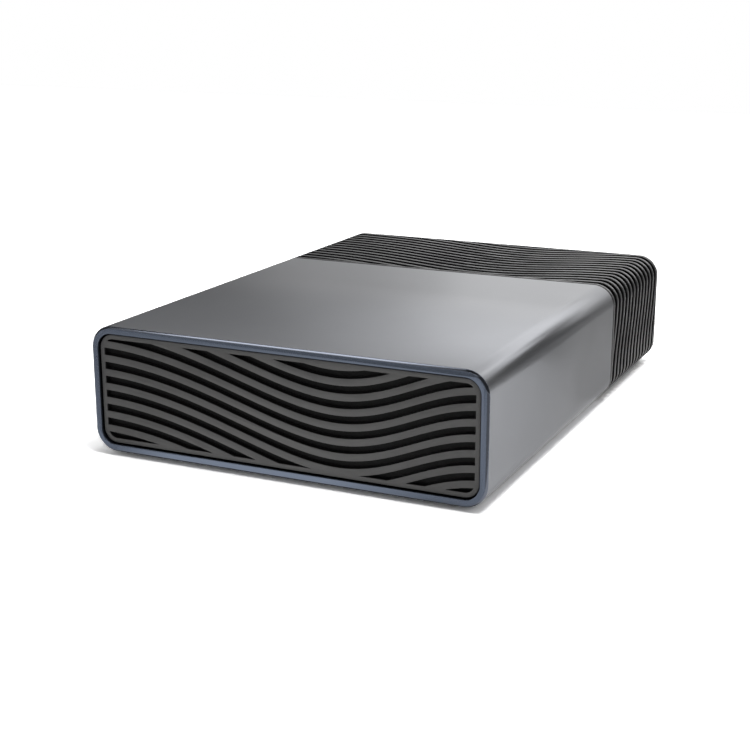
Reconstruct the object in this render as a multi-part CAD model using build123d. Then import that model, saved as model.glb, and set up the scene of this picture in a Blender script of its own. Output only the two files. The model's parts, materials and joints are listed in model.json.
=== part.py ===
from build123d import *
import math
import os

# An external hard drive: a 3.5-inch disk on a tray inside an aluminium sleeve, with a wave-slotted
# front grille and a rear shroud whose wavy ribs wrap round its top, corners and sides.
# Lengths are in millimetres. Every piece is drawn with X to the right, Y = 0 on the front plane
# and growing to the rear, and Z = 0 on the table. place_in_frame then moves it so that the origin
# lies on the table under the middle of the case.

# Case
CASE_WIDTH = 126.0
CASE_HEIGHT = 38.7
CASE_DEPTH = 176.0
CORNER_RADIUS = 7.0
MIN_RADIUS = 0.5
SLIDE_GAP = 0.1
LOOSE_GAP = 0.3
JOINT_OVERLAP = 0.4

# Aluminium sleeve with two pairs of rails that hold the tray's flanges
SLEEVE_WALL = 1.6
SEAM_Y = 117.6
SEAM_GAP = 0.1
RAIL_DEPTH = 3.0
RAIL_THICKNESS = 1.2

# Front ring
BEZEL_WIDTH = 2.2
BEZEL_CHAMFER = 0.6
BEZEL_FLANGE = 0.8
BEZEL_SPIGOT = 7.2
LEDGE_INSET = 3.6

# Front grille and the filter bonded to its back
GRILLE_GAP = 0.4
GRILLE_RECESS = 0.9
GRILLE_THICKNESS = 2.0
GRILLE_STEP = 0.6
GRILLE_EDGE = 0.2
GRILLE_BORDER = 1.4
FIELD_RADIUS = 3.0
FILTER_THICKNESS = 0.8

# Wave of the grille's slots: from a crest near the left end down to a trough and up again.
# The right crest lies one pitch lower, so the slots line up at both ends.
SLOT_HEIGHT = 2.25
SLOT_PITCH = 4.335
SLOT_DROP = 15.5
SLOT_TROUGH_HEIGHT = 15.3
SLOT_TROUGH_X = 17.4
SLOT_CREST_LEFT = 2.6
SLOT_CREST_RIGHT = 3.4
SLOT_SMALLEST_AREA = 0.8

# How far each curve leaves its crest or trough level, as a share of that curve's width
SLOT_BENDS = (0.43, 0.27, 0.40, 0.37)

# Rear shroud
SHROUD_WALL = 3.0
SPIGOT_LENGTH = 6.0
LIP_LENGTH = 2.0
REAR_MARGIN = 1.0
GROOVE_WIDTH = 2.4
GROOVE_PITCH = 4.28
GROOVE_DEPTH = 1.2
GROOVE_DROP = 15.0
GROOVE_CREST_Y = 133.7
GROOVE_TROUGH_X = 15.0
GROOVE_BENDS = (0.43, 0.30, 0.40, 0.37)
SIDE_BEND = 0.37
GROOVE_SHORTEST = 0.4
CUT_OVERRUN = 1.0

# Rear panel and its screws
PANEL_RECESS = 1.6
PANEL_THICKNESS = 2.0
PANEL_SCREW_RADIUS = 1.25
PANEL_SCREW_LENGTH = 9.0
PANEL_HEAD_RADIUS = 2.1
PANEL_HEAD_HEIGHT = 1.3
PANEL_CROSS_SPAN = 2.4
PANEL_CROSS_WIDTH = 0.5
PANEL_CROSS_DEPTH = 0.8
BOSS_RADIUS = 3.0
BOSS_INSET = 2.8
BOSS_LENGTH = 12.0
VENT_WIDTH = 2.0
VENT_HEIGHT = 9.0
VENT_PITCH = 4.4
VENT_COUNT = 15
VENT_DROP = 6.5
LOCK_SLOT_WIDTH = 7.0
LOCK_SLOT_HEIGHT = 3.0
LOCK_SLOT_X = 46.0

# Feet, with the shroud's screws hidden under the rear pair
FOOT_STANDOUT = 1.2
FOOT_RADIUS = 6.0
FOOT_POCKET = 0.6
FOOT_X = 46.0
FRONT_FOOT_Y = 16.0
REAR_FOOT_Y = 164.5
FOOT_EDGE = 0.3
SHROUD_SCREW_RADIUS = 1.4
SHROUD_HEAD_RADIUS = 2.6
SHROUD_HEAD_HEIGHT = 1.4
SHROUD_BOSS_RADIUS = 4.0
COLLAR_RADIUS = 2.6
COLLAR_HEIGHT = 1.6

# Disk of the 3.5-inch standard
DRIVE_WIDTH = 101.6
DRIVE_LENGTH = 147.0
DRIVE_HEIGHT = 26.1
DRIVE_FRONT_Y = 9.4
DRIVE_HOLE_SPACING = 95.25
DRIVE_HOLE_REAR = 41.28
DRIVE_HOLE_PITCH = 44.45
SIDE_HOLE_HEIGHT = 6.35
SIDE_HOLES_FROM_REAR = (28.5, 70.1, 130.1)
HOLE_RADIUS = 1.75
HOLE_DEPTH = 4.2

# Tray and the rubber grommets that carry the disk
TRAY_THICKNESS = 1.2
TRAY_BEND = 1.4
TRAY_SIDE_GAP = 2.0
TRAY_FLANGE_GAP = 0.4
GROMMET_FLANGE = 1.2
GROMMET_RADIUS = 4.2
GROMMET_NECK = 3.1
GROMMET_BORE = 1.9
DRIVE_HEAD_RADIUS = 3.4
DRIVE_HEAD_HEIGHT = 1.5
DRIVE_SCREW_RADIUS = 1.7
DRIVE_SCREW_GRIP = 3.8
TRAY_SLOT_WIDTH = 8.0
TRAY_SLOT_LENGTH = 46.0
TRAY_SLOT_PITCH = 14.0
TRAY_SLOT_FROM_END = 32.0
TRAY_SLOT_COUNT = 5

# Disk casting, gasket and cover
COVER_THICKNESS = 1.4
COVER_STEP = 0.4
COVER_STEP_INSET = 8.0
GASKET_THICKNESS = 0.4
GASKET_CLEAR = 0.4
BASE_CORNER = 3.0
BASE_FLOOR_LOW = 5.0
BASE_FLOOR_THICKNESS = 3.0
BOWL_RADIUS = 49.0
POCKET_WALL = 4.0
POCKET_START = 20.0
POCKET_CORNER = 6.0
RECESS_START = 58.0
RECESS_RAIL = 6.8
COVER_SCREW_INSET = 2.4
COVER_SCREW_CORNER = 3.2
COVER_HEAD_RADIUS = 1.9
COVER_HEAD_DEPTH = 0.8
COVER_SCREW_RADIUS = 1.0
COVER_SCREW_LENGTH = 6.0

# Spindle: a fixed bearing sleeve and stator inside a rotor that carries three platters
SPINDLE_FROM_FRONT = 50.8
SHAFT_RADIUS = 2.0
SHAFT_CLEARANCE = 0.03
BEARING_RADIUS = 6.0
BEARING_FLOOR = 1.2
BEARING_FLANGE_RADIUS = 8.0
MOTOR_RECESS_RADIUS = 14.0
STATOR_RADIUS = 10.2
STATOR_CORE_RADIUS = 7.4
STATOR_THICKNESS = 3.0
STATOR_TEETH = 9
STATOR_ABOVE_FLOOR = 1.5
TOOTH_WIDTH = 1.6
WINDING_THICKNESS = 0.5
MAGNET_GAP = 0.3
HUB_RADIUS = 12.5
HUB_WALL = 1.1
HUB_FLANGE_RADIUS = 14.5
HUB_FLANGE_THICKNESS = 1.0
HUB_TOP_THICKNESS = 1.8
HUB_BELOW_CLAMP = 0.2
PLATTER_RADIUS = 47.5
PLATTER_THICKNESS = 1.27
PLATTER_PITCH = 3.6
PLATTER_COUNT = 3
PLATTER_ABOVE_FLOOR = 3.0
SPACER_RADIUS = 15.0
CLAMP_RADIUS = 15.0
CLAMP_THICKNESS = 1.5
CLAMP_BORE_RADIUS = 4.0
CLAMP_SCREW_COUNT = 4
CLAMP_SCREW_CIRCLE = 8.0
CLAMP_SCREW_RADIUS = 0.9
CLAMP_HEAD_RADIUS = 1.6
CLAMP_HEAD_HEIGHT = 1.0

# Head arm, its pivot and the voice coil between two magnets
PIVOT_X = 20.0
PIVOT_FROM_SPINDLE = 56.6
PIVOT_RADIUS = 2.5
PIVOT_CLEARANCE = 0.05
PIVOT_BEARING_RADIUS = 4.9
BARREL_RADIUS = 8.0
ARM_LENGTH = 36.0
ARM_ROOT_RADIUS = 7.0
ARM_TIP_RADIUS = 2.6
ARM_THICKNESS = 1.0
ARM_HOLE_RADIUS = 2.2
HEAD_REACH = 54.0
PARKED_RADIUS = 50.5
INNER_TRACK_RADIUS = 22.0
SUSPENSION_THICKNESS = 0.2
SUSPENSION_ROOT = 5.0
SUSPENSION_TIP = 1.6
SUSPENSION_OVERLAP = 5.0
TAB_LENGTH = 2.6
SLIDER_LENGTH = 1.5
SLIDER_WIDTH = 1.2
SLIDER_HEIGHT = 0.3
COIL_INNER = 12.5
COIL_OUTER = 24.8
COIL_HALF_ANGLE = 17.0
COIL_WIRE = 3.2
COIL_THICKNESS = 2.6
FRAME_WALL = 1.2
FRAME_THICKNESS = 3.0
YOKE_INNER = 10.5
YOKE_OUTER = 30.5
YOKE_THICKNESS = 2.0
YOKE_ANGLES = (-12.0, 108.0)
YOKE_POST_RADIUS = 1.8
YOKE_POST_ANGLES = (32.0, 65.0, 100.0)
YOKE_POST_GAP = 0.5
MAGNET_THICKNESS = 2.4
MAGNET_OUTER = 26.0
RAMP_CLEAR = 0.1
RAMP_FIN = 0.35
RAMP_OUTER = 60.5
RAMP_EDGE_GAP = 0.5
RAMP_HALF_ANGLE = 4.0
BRACKET_X = -22.0
BRACKET_BEHIND_PIVOT = 18.0
BRACKET_SIZE = (16.0, 12.0, 5.0)
AIR_FILTER_SIZE = (4.0, 10.0, 12.0)

# Disk electronics
DISK_BOARD_THICKNESS = 1.0
DISK_BOARD_HEIGHT = 1.6
DISK_BOARD_START = 64.0
DISK_BOARD_CLEAR = 2.0
DISK_CHIP_HEIGHT = 1.2
FOAM_THICKNESS = 0.8
FOAM_MARGIN = 11.0
FOAM_WIDTH = 60.0
DISK_BOARD_SCREW_RADIUS = 0.95
DISK_BOARD_BOSS = 2.4
DISK_BOARD_HEAD_RADIUS = 2.0
DISK_BOARD_HEAD_HEIGHT = 0.8
DISK_BOARD_SCREW_INSET = 3.9
PLUG_X = -18.0
PLUG_WIDTH = 42.6
PLUG_HEIGHT = 5.6
PLUG_DEPTH = 8.0
PLUG_CENTRE = 3.6
PLUG_WALL = 0.8
PLUG_MOUTH = 5.0
TONGUE_THICKNESS = 1.2
TONGUE_MARGIN = 3.0

# Chips of the disk board as place from its middle along X and Y, width and depth
DISK_CHIPS = [(-8, -6, 14, 14), (16, 0, 10, 12), (-24, 8, 8, 8), (6, 14, 6, 4)]

# Bridge board between the disk and the rear panel
BOARD_THICKNESS = 1.6
BOARD_SIDE_GAP = 0.7
BOARD_TO_PANEL = 0.5
SOCKET_BODY = 5.2
SOCKET_LEG = 2.0
SOCKET_LEG_THICKNESS = 0.5
SOCKET_LEG_WIDTH = 38.0
STANDOFF_X = 39.0
STANDOFF_RADIUS = 2.4
STANDOFF_FROM_PANEL = 5.2
BOARD_SCREW_RADIUS = 1.2
BOARD_HEAD_RADIUS = 2.3
BOARD_HEAD_HEIGHT = 1.2

# Parts under the bridge board as place along X, width, depth and height, then those on top
BRIDGE_CHIPS = [(-4, 7, 7, 1.0), (9, 5, 5, 2.6), (18, 5, 5, 2.6), (-20, 4, 6, 1.2)]
CAPACITOR_X = (33.0, 46.5)
CAPACITOR_RADIUS = 2.5
CAPACITOR_HEIGHT = 7.0
LAMP_WIDTH = 3.0

# Ports and button
USB_X = 0.0
USB_WIDTH = 8.94
USB_HEIGHT = 3.2
USB_WALL = 0.3
USB_RADIUS = 1.45
USB_LENGTH = 8.4
USB_DEPTH = 6.7
USB_SETBACK = 0.6
USB_TONGUE_WIDTH = 6.7
USB_TONGUE_THICKNESS = 0.7
USB_TONGUE_LENGTH = 4.5
JACK_X = 24.0
JACK_WIDTH = 9.0
JACK_HEIGHT = 11.0
JACK_CENTRE = 6.0
JACK_COLLAR_RADIUS = 4.0
JACK_BORE_RADIUS = 3.05
JACK_PIN_RADIUS = 1.0
JACK_BORE_DEPTH = 9.5
JACK_SETBACK = 0.6
JACK_PIN_SETBACK = 1.0
LIGHT_X = -12.0
LIGHT_RADIUS = 1.2
LIGHT_LENGTH = 6.0
LIGHT_ABOVE_BOARD = 0.6
LIGHT_COLLAR_RADIUS = 1.6
LIGHT_COLLAR_LENGTH = 1.0
BUTTON_X = -27.0
BUTTON_RADIUS = 3.6
BUTTON_TRAVEL = 0.8
BUTTON_PROUD = 1.2
BUTTON_FLANGE = 1.0
BUTTON_FLANGE_HEIGHT = 1.2
BUTTON_EDGE = 0.4
SWITCH_WIDTH = 7.0
SWITCH_HEIGHT = 9.0
SWITCH_DEPTH = 5.4
SWITCH_AXIS = 6.0
PLUNGER_RADIUS = 1.6
PLUNGER_CLEARANCE = 0.05
PLUNGER_LENGTH = 4.8
PLUNGER_ENGAGED = 3.3

# Levels and stations that follow from the sizes above
CASE_BOTTOM = FOOT_STANDOUT
CASE_MID_Z = CASE_BOTTOM + CASE_HEIGHT / 2
CASE_TOP = CASE_BOTTOM + CASE_HEIGHT
BEZEL_REAR = BEZEL_FLANGE + BEZEL_SPIGOT
GRILLE_INSET = BEZEL_WIDTH + GRILLE_GAP
GRILLE_BACK = GRILLE_RECESS + GRILLE_THICKNESS
FIELD_INSET = GRILLE_INSET + GRILLE_BORDER
PANEL_REAR = CASE_DEPTH - PANEL_RECESS
PANEL_FRONT = PANEL_REAR - PANEL_THICKNESS
SPIGOT_INSET = SLEEVE_WALL + SLIDE_GAP

HEAD_Z = CASE_BOTTOM + SHROUD_WALL + LOOSE_GAP
GROMMET_Z = HEAD_Z + DRIVE_HEAD_HEIGHT
TRAY_Z = GROMMET_Z + GROMMET_FLANGE
TRAY_TOP_Z = TRAY_Z + TRAY_THICKNESS
DRIVE_Z = TRAY_TOP_Z + GROMMET_FLANGE
DRIVE_REAR_Y = DRIVE_FRONT_Y + DRIVE_LENGTH
TRAY_INNER_X = DRIVE_WIDTH / 2 + TRAY_SIDE_GAP
TRAY_FLANGE_X = CASE_WIDTH / 2 - SHROUD_WALL - TRAY_FLANGE_GAP
TRAY_FRONT_Y = BEZEL_REAR + LOOSE_GAP
TRAY_REAR_Y = PANEL_FRONT - BOARD_TO_PANEL

BASE_TOP_Z = DRIVE_Z + DRIVE_HEIGHT - COVER_THICKNESS - GASKET_THICKNESS
FLOOR_LOW_Z = DRIVE_Z + BASE_FLOOR_LOW
FLOOR_Z = FLOOR_LOW_Z + BASE_FLOOR_THICKNESS
COVER_Z = BASE_TOP_Z + GASKET_THICKNESS
COVER_TOP_Z = COVER_Z + COVER_THICKNESS
SPINDLE_Y = DRIVE_FRONT_Y + SPINDLE_FROM_FRONT
PIVOT_Y = SPINDLE_Y + PIVOT_FROM_SPINDLE

PLATTER_Z = FLOOR_Z + PLATTER_ABOVE_FLOOR
PLATTER_GAP = PLATTER_PITCH - PLATTER_THICKNESS
STACK_TOP_Z = PLATTER_Z + PLATTER_PITCH * (PLATTER_COUNT - 1) + PLATTER_THICKNESS
CLAMP_TOP_Z = STACK_TOP_Z + CLAMP_THICKNESS
HUB_TOP_Z = STACK_TOP_Z - HUB_BELOW_CLAMP
STATOR_Z = FLOOR_Z + STATOR_ABOVE_FLOOR
ARM_LEVELS = [PLATTER_Z - PLATTER_GAP / 2 + PLATTER_PITCH * i for i in range(PLATTER_COUNT + 1)]
COIL_Z = (FLOOR_Z + BASE_TOP_Z) / 2

DISK_BOARD_Z = DRIVE_Z + DISK_BOARD_HEIGHT
DISK_BOARD_TOP_Z = DISK_BOARD_Z + DISK_BOARD_THICKNESS
PLUG_Z = DRIVE_Z + PLUG_CENTRE
BOARD_Z = PLUG_Z - BOARD_THICKNESS / 2
BOARD_TOP_Z = BOARD_Z + BOARD_THICKNESS
SOCKET_REAR_Y = DRIVE_REAR_Y + LOOSE_GAP + SOCKET_BODY
BOARD_REAR_Y = PANEL_FRONT - BOARD_TO_PANEL
USB_Z = BOARD_TOP_Z + USB_HEIGHT / 2
JACK_Z = BOARD_TOP_Z + JACK_CENTRE
LIGHT_Z = BOARD_TOP_Z + LIGHT_RADIUS + LIGHT_ABOVE_BOARD
BUTTON_Z = BOARD_TOP_Z + SWITCH_AXIS
FLANGE_REAR_Y = PANEL_FRONT - LOOSE_GAP
FLANGE_FRONT_Y = FLANGE_REAR_Y - BUTTON_FLANGE_HEIGHT


def swing_angle(radius):
    """Angle at the pivot between the spindle and a head at this distance from the spindle."""
    reach = math.hypot(PIVOT_X, PIVOT_FROM_SPINDLE)
    cosine = (reach ** 2 + HEAD_REACH ** 2 - radius ** 2) / (2 * reach * HEAD_REACH)
    return math.degrees(math.acos(cosine))


TOWARDS_SPINDLE = math.degrees(math.atan2(-PIVOT_FROM_SPINDLE, -PIVOT_X))
PARKED_ANGLE = TOWARDS_SPINDLE - swing_angle(PARKED_RADIUS)
SWING_RANGE = swing_angle(PARKED_RADIUS) - swing_angle(INNER_TRACK_RADIUS)


# Shared shapes

def block(x_range, y_range, z_range):
    """Box between pairs of lowest and highest values."""
    ranges = (x_range, y_range, z_range)
    middle = [(low + high) / 2 for low, high in ranges]
    size = [high - low for low, high in ranges]
    return Pos(*middle) * Box(*size)


def about(centre, width):
    """Lowest and highest value of a width about its centre."""
    return (centre - width / 2, centre + width / 2)


def upright(x, y, z_low, z_high, radius):
    """Cylinder along Z."""
    return Pos(x, y, (z_low + z_high) / 2) * Cylinder(radius, z_high - z_low)


def washer(x, y, z_low, z_high, inner, outer):
    """Ring along Z."""
    return upright(x, y, z_low, z_high, outer) - upright(x, y, z_low, z_high, inner)


def lengthwise(x, z, y_low, y_high, radius):
    """Cylinder along Y."""
    return Pos(x, (y_low + y_high) / 2, z) * Rot(90, 0, 0) * Cylinder(radius, y_high - y_low)


def raised(section, z_low, z_high):
    """Section drawn in X and Y, extruded between two heights."""
    return extrude(Pos(0, 0, z_low) * section, amount=z_high - z_low)


def deepened(section, y_low, y_high, centre_z=CASE_MID_Z):
    """Section drawn in X and Z about centre_z, extruded towards the rear."""
    plane = Plane(origin=(0, y_low, centre_z), x_dir=(1, 0, 0), z_dir=(0, -1, 0))
    return extrude(plane * section, amount=-(y_high - y_low))


def case_section(inset):
    """Rounded outline of the case, moved inwards."""
    radius = max(CORNER_RADIUS - inset, MIN_RADIUS)
    return RectangleRounded(CASE_WIDTH - 2 * inset, CASE_HEIGHT - 2 * inset, radius)


def case_tube(outer_inset, inner_inset, y_low, y_high):
    """Tube with the case's section between two insets."""
    outer = deepened(case_section(outer_inset), y_low, y_high)
    return outer - deepened(case_section(inner_inset), y_low, y_high)


def mirrored_pair(shape):
    """A shape and its mirror image about the case's middle plane."""
    return [shape, mirror(shape, about=Plane.YZ)]


def group(shapes):
    """Separate solids that share one node."""
    return Compound([solid for shape in shapes for solid in shape.solids()])


def joined(first, *others):
    """One solid from overlapping or touching shapes."""
    result = first
    for other in others:
        result = result + other
    return result


# Waves

def wave(crest_left, trough, crest_right, bends, shift):
    """Two cubic curves that leave each crest and trough level, moved by shift."""
    (x0, y0), (x1, y1), (x2, y2) = crest_left, trough, crest_right
    first, second = x1 - x0, x2 - x1
    down = Bezier(
        (x0, y0 + shift),
        (x0 + bends[0] * first, y0 + shift),
        (x1 - bends[1] * first, y1 + shift),
        (x1, y1 + shift),
    )
    up = Bezier(
        (x1, y1 + shift),
        (x1 + bends[2] * second, y1 + shift),
        (x2 - bends[3] * second, y2 + shift),
        (x2, y2 + shift),
    )
    return [down, up]


def wave_band(points, bends, width, shift):
    """Face between two copies of a wave that lie width apart."""
    low = wave(*points, bends, shift - width / 2)
    high = wave(*points, bends, shift + width / 2)
    ends = [Line(low[0] @ 0, high[0] @ 0), Line(low[1] @ 1, high[1] @ 1)]
    return make_face(low + high + ends)


# Outer case

def sleeve():
    """Extruded tube with two pairs of inner rails, milled back where the spigots enter."""
    rear = SEAM_Y - SEAM_GAP
    tube = case_tube(0, SLEEVE_WALL, BEZEL_FLANGE, rear)
    wall_x = CASE_WIDTH / 2 - SLEEVE_WALL
    rail_x = (wall_x - RAIL_DEPTH, wall_x + JOINT_OVERLAP)
    rail_y = (BEZEL_REAR + LOOSE_GAP, SEAM_Y - SPIGOT_LENGTH - LOOSE_GAP)
    flange_half = TRAY_THICKNESS / 2 + LOOSE_GAP / 2
    for side in (1, -1):
        centre = CASE_MID_Z + side * (flange_half + RAIL_THICKNESS / 2)
        rail = block(rail_x, rail_y, about(centre, RAIL_THICKNESS))
        tube = joined(tube, *mirrored_pair(rail))
    return tube


def front_bezel():
    """Chamfered front ring whose spigot slides into the sleeve and carries the grille."""
    flange = deepened(case_section(0), 0, BEZEL_FLANGE)
    flange = chamfer(flange.faces().sort_by(Axis.Y)[0].edges(), BEZEL_CHAMFER)
    spigot = deepened(case_section(SPIGOT_INSET), BEZEL_FLANGE / 2, BEZEL_REAR)
    ring = joined(flange, spigot)
    ring = ring - deepened(case_section(BEZEL_WIDTH), -CUT_OVERRUN, GRILLE_BACK)
    return ring - deepened(case_section(LEDGE_INSET), 0, BEZEL_REAR + CUT_OVERRUN)


def slot_sections():
    """Wave bands inside the grille's border, repeated up and down at the slot pitch."""
    half_width = CASE_WIDTH / 2 - FIELD_INSET
    half_height = CASE_HEIGHT / 2 - FIELD_INSET
    field = RectangleRounded(2 * half_width, 2 * half_height, FIELD_RADIUS)
    trough_z = SLOT_TROUGH_HEIGHT - CASE_HEIGHT / 2
    crest_z = trough_z + SLOT_DROP
    points = (
        (-half_width - SLOT_CREST_LEFT, crest_z),
        (SLOT_TROUGH_X, trough_z),
        (half_width + SLOT_CREST_RIGHT, crest_z - SLOT_PITCH),
    )
    lowest = math.floor((-half_height - crest_z) / SLOT_PITCH)
    highest = math.ceil((half_height - trough_z) / SLOT_PITCH)
    sections = []
    for step in range(lowest, highest + 1):
        band = wave_band(points, SLOT_BENDS, SLOT_HEIGHT, step * SLOT_PITCH)
        pieces = (field & band).faces() if field & band else []
        sections += [face for face in pieces if face.area > SLOT_SMALLEST_AREA]
    return sections


def front_grille():
    """Plate with wavy slots, and a step at its back that centres it in the front ring."""
    plate = deepened(case_section(GRILLE_INSET), GRILLE_RECESS, GRILLE_BACK)
    step = deepened(case_section(BEZEL_WIDTH + SLIDE_GAP), GRILLE_BACK - GRILLE_STEP, GRILLE_BACK)
    plate = joined(plate, step)
    front = plate.faces().sort_by(Axis.Y)[0]
    plate = chamfer(front.edges(), GRILLE_EDGE)
    low, high = GRILLE_RECESS - CUT_OVERRUN, GRILLE_BACK + CUT_OVERRUN
    return plate - [deepened(section, low, high) for section in slot_sections()]


def dust_filter():
    """Thin black sheet bonded to the back of the grille."""
    section = case_section(LEDGE_INSET + SLIDE_GAP)
    return deepened(section, GRILLE_BACK, GRILLE_BACK + FILTER_THICKNESS)


# Grooves of the rear shroud

def flat_half_width():
    """Half of the flat width between the rounded corners."""
    return CASE_WIDTH / 2 - CORNER_RADIUS


def flat_half_height():
    """Half of the flat height between the rounded corners."""
    return CASE_HEIGHT / 2 - CORNER_RADIUS


def groove_limits():
    """Stretch of the shroud that the grooves may cover."""
    return SEAM_Y + LIP_LENGTH, CASE_DEPTH - REAR_MARGIN


def groove_steps():
    """Numbers of the grooves that reach the ribbed stretch, counted from the measured one."""
    front, rear = groove_limits()
    first = math.floor((front - GROOVE_CREST_Y) / GROOVE_PITCH)
    last = math.ceil((rear - GROOVE_CREST_Y + GROOVE_DROP) / GROOVE_PITCH)
    return range(first, last + 1)


def top_groove(crest_y):
    """One wavy groove across the top, between the rounded corners."""
    half = flat_half_width()
    points = (
        (-half, crest_y),
        (GROOVE_TROUGH_X, crest_y - GROOVE_DROP),
        (half, crest_y - GROOVE_PITCH),
    )
    front, rear = groove_limits()
    field = Pos(0, (front + rear) / 2) * Rectangle(2 * half, rear - front)
    section = field & wave_band(points, GROOVE_BENDS, GROOVE_WIDTH, 0)
    if not section or section.area < GROOVE_SHORTEST:
        return []
    return raised(section, CASE_TOP - GROOVE_DEPTH, CASE_TOP + CUT_OVERRUN).solids()


def corner_groove(centre_y, upper):
    """The same groove round a right-hand corner, where it keeps its distance from the front."""
    front, rear = groove_limits()
    low = max(centre_y - GROOVE_WIDTH / 2, front)
    high = min(centre_y + GROOVE_WIDTH / 2, rear)
    if high - low < GROOVE_SHORTEST:
        return []
    about_axis = (Align.NONE, Align.NONE, Align.CENTER)
    outer = Cylinder(CORNER_RADIUS + CUT_OVERRUN, high - low, arc_size=90, align=about_axis)
    inner = Cylinder(CORNER_RADIUS - GROOVE_DEPTH, high - low, arc_size=90, align=about_axis)
    turned = Rot(90, 0, 0) * (outer - inner)
    if not upper:
        turned = Rot(0, 90, 0) * turned
    z = CASE_MID_Z + (flat_half_height() if upper else -flat_half_height())
    return (Pos(flat_half_width(), (low + high) / 2, z) * turned).solids()


def side_groove(crest_y):
    """The same groove down the right side, one pitch nearer the front at the bottom."""
    half = flat_half_height()
    front, rear = groove_limits()
    edges = []
    for offset in (-GROOVE_WIDTH / 2, GROOVE_WIDTH / 2):
        y = crest_y + offset
        edges.append(Bezier(
            (-half, y - GROOVE_PITCH),
            (-half + 2 * half * SIDE_BEND, y - GROOVE_PITCH),
            (half - 2 * half * SIDE_BEND, y),
            (half, y),
        ))
    low, high = edges
    band = make_face([low, high, Line(low @ 0, high @ 0), Line(low @ 1, high @ 1)])
    field = Pos(0, (front + rear) / 2) * Rectangle(2 * half, rear - front)
    section = field & band
    if not section or section.area < GROOVE_SHORTEST:
        return []
    plane = Plane(
        origin=(CASE_WIDTH / 2 - GROOVE_DEPTH, 0, CASE_MID_Z),
        x_dir=(0, 0, 1),
        z_dir=(1, 0, 0),
    )
    turned = plane * mirror(section, about=Plane.XZ)
    return extrude(turned, amount=GROOVE_DEPTH + CUT_OVERRUN).solids()


def groove_cutters():
    """Every stretch of every groove on the top, the four corners and both sides."""
    cutters = []
    for step in groove_steps():
        crest_y = GROOVE_CREST_Y + step * GROOVE_PITCH
        right = corner_groove(crest_y, True) + side_groove(crest_y)
        right += corner_groove(crest_y - GROOVE_PITCH, False)
        cutters += top_groove(crest_y) + right
        cutters += [mirror(shape, about=Plane.YZ) for shape in right]
    return cutters


def panel_screw_places():
    """X and Z of the four corner screws of the rear panel."""
    x = CASE_WIDTH / 2 - SHROUD_WALL - BOSS_INSET
    z = CASE_HEIGHT / 2 - SHROUD_WALL - BOSS_INSET
    return [(i * x, CASE_MID_Z + j * z) for i in (-1, 1) for j in (-1, 1)]


def rear_shroud():
    """Ribbed shell with a spigot for the sleeve, screw bosses and foot pockets."""
    shell = case_tube(0, SHROUD_WALL, SEAM_Y, CASE_DEPTH)
    shell = shell - groove_cutters()
    spigot = case_tube(SPIGOT_INSET, SHROUD_WALL, SEAM_Y - SPIGOT_LENGTH, SEAM_Y + LIP_LENGTH / 2)
    shell = joined(shell, spigot)
    inside = deepened(case_section(SHROUD_WALL / 2), SEAM_Y, PANEL_FRONT)
    for x, z in panel_screw_places():
        boss = lengthwise(x, z, PANEL_FRONT - BOSS_LENGTH, PANEL_FRONT, BOSS_RADIUS)
        shell = joined(shell, boss & inside)
    wall_top = CASE_BOTTOM + SHROUD_WALL
    for x in (-FOOT_X, FOOT_X):
        boss = upright(x, REAR_FOOT_Y, wall_top - JOINT_OVERLAP, TRAY_Z, SHROUD_BOSS_RADIUS)
        shell = joined(shell, boss)
    for x, z in panel_screw_places():
        radius = PANEL_SCREW_RADIUS + SLIDE_GAP / 2
        shell = shell - lengthwise(x, z, PANEL_FRONT - PANEL_SCREW_LENGTH, CASE_DEPTH, radius)
    pocket_top = CASE_BOTTOM + FOOT_POCKET
    head_top = pocket_top + SHROUD_HEAD_HEIGHT
    for x in (-FOOT_X, FOOT_X):
        pocket = upright(x, REAR_FOOT_Y, 0, pocket_top, FOOT_RADIUS + SLIDE_GAP)
        seat = upright(x, REAR_FOOT_Y, 0, head_top, SHROUD_HEAD_RADIUS + SLIDE_GAP)
        bore = upright(x, REAR_FOOT_Y, 0, TRAY_Z + CUT_OVERRUN, SHROUD_SCREW_RADIUS + SLIDE_GAP)
        shell = shell - pocket - seat - bore
    return shell


def rear_panel():
    """Recessed plate with the ports, the button's hole, a lock slot and air vents."""
    plate = deepened(case_section(SHROUD_WALL + SLIDE_GAP), PANEL_FRONT, PANEL_REAR)
    low, high = PANEL_FRONT - CUT_OVERRUN, PANEL_REAR + CUT_OVERRUN
    for x, z in panel_screw_places():
        plate = plate - lengthwise(x, z, low, high, PANEL_SCREW_RADIUS + SLIDE_GAP)
    usb = RectangleRounded(USB_WIDTH + 2 * LOOSE_GAP, USB_HEIGHT + 2 * LOOSE_GAP, USB_HEIGHT / 2)
    plate = plate - deepened(Pos(USB_X, 0) * usb, low, high, USB_Z)
    plate = plate - lengthwise(JACK_X, JACK_Z, low, high, JACK_COLLAR_RADIUS + SLIDE_GAP)
    plate = plate - lengthwise(BUTTON_X, BUTTON_Z, low, high, BUTTON_RADIUS + LOOSE_GAP)
    plate = plate - lengthwise(LIGHT_X, LIGHT_Z, low, high, LIGHT_RADIUS + SLIDE_GAP)
    lock = Pos(LOCK_SLOT_X, 0) * RectangleRounded(LOCK_SLOT_WIDTH, LOCK_SLOT_HEIGHT, MIN_RADIUS)
    plate = plate - deepened(lock, low, high)
    vent_z = CASE_TOP - SHROUD_WALL - VENT_DROP
    vents = []
    for i in range(VENT_COUNT):
        x = (i - (VENT_COUNT - 1) / 2) * VENT_PITCH
        slot = Pos(x, 0) * Rot(0, 0, 90) * SlotOverall(VENT_HEIGHT, VENT_WIDTH)
        vents.append(deepened(slot, low, high, vent_z))
    return plate - vents


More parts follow.
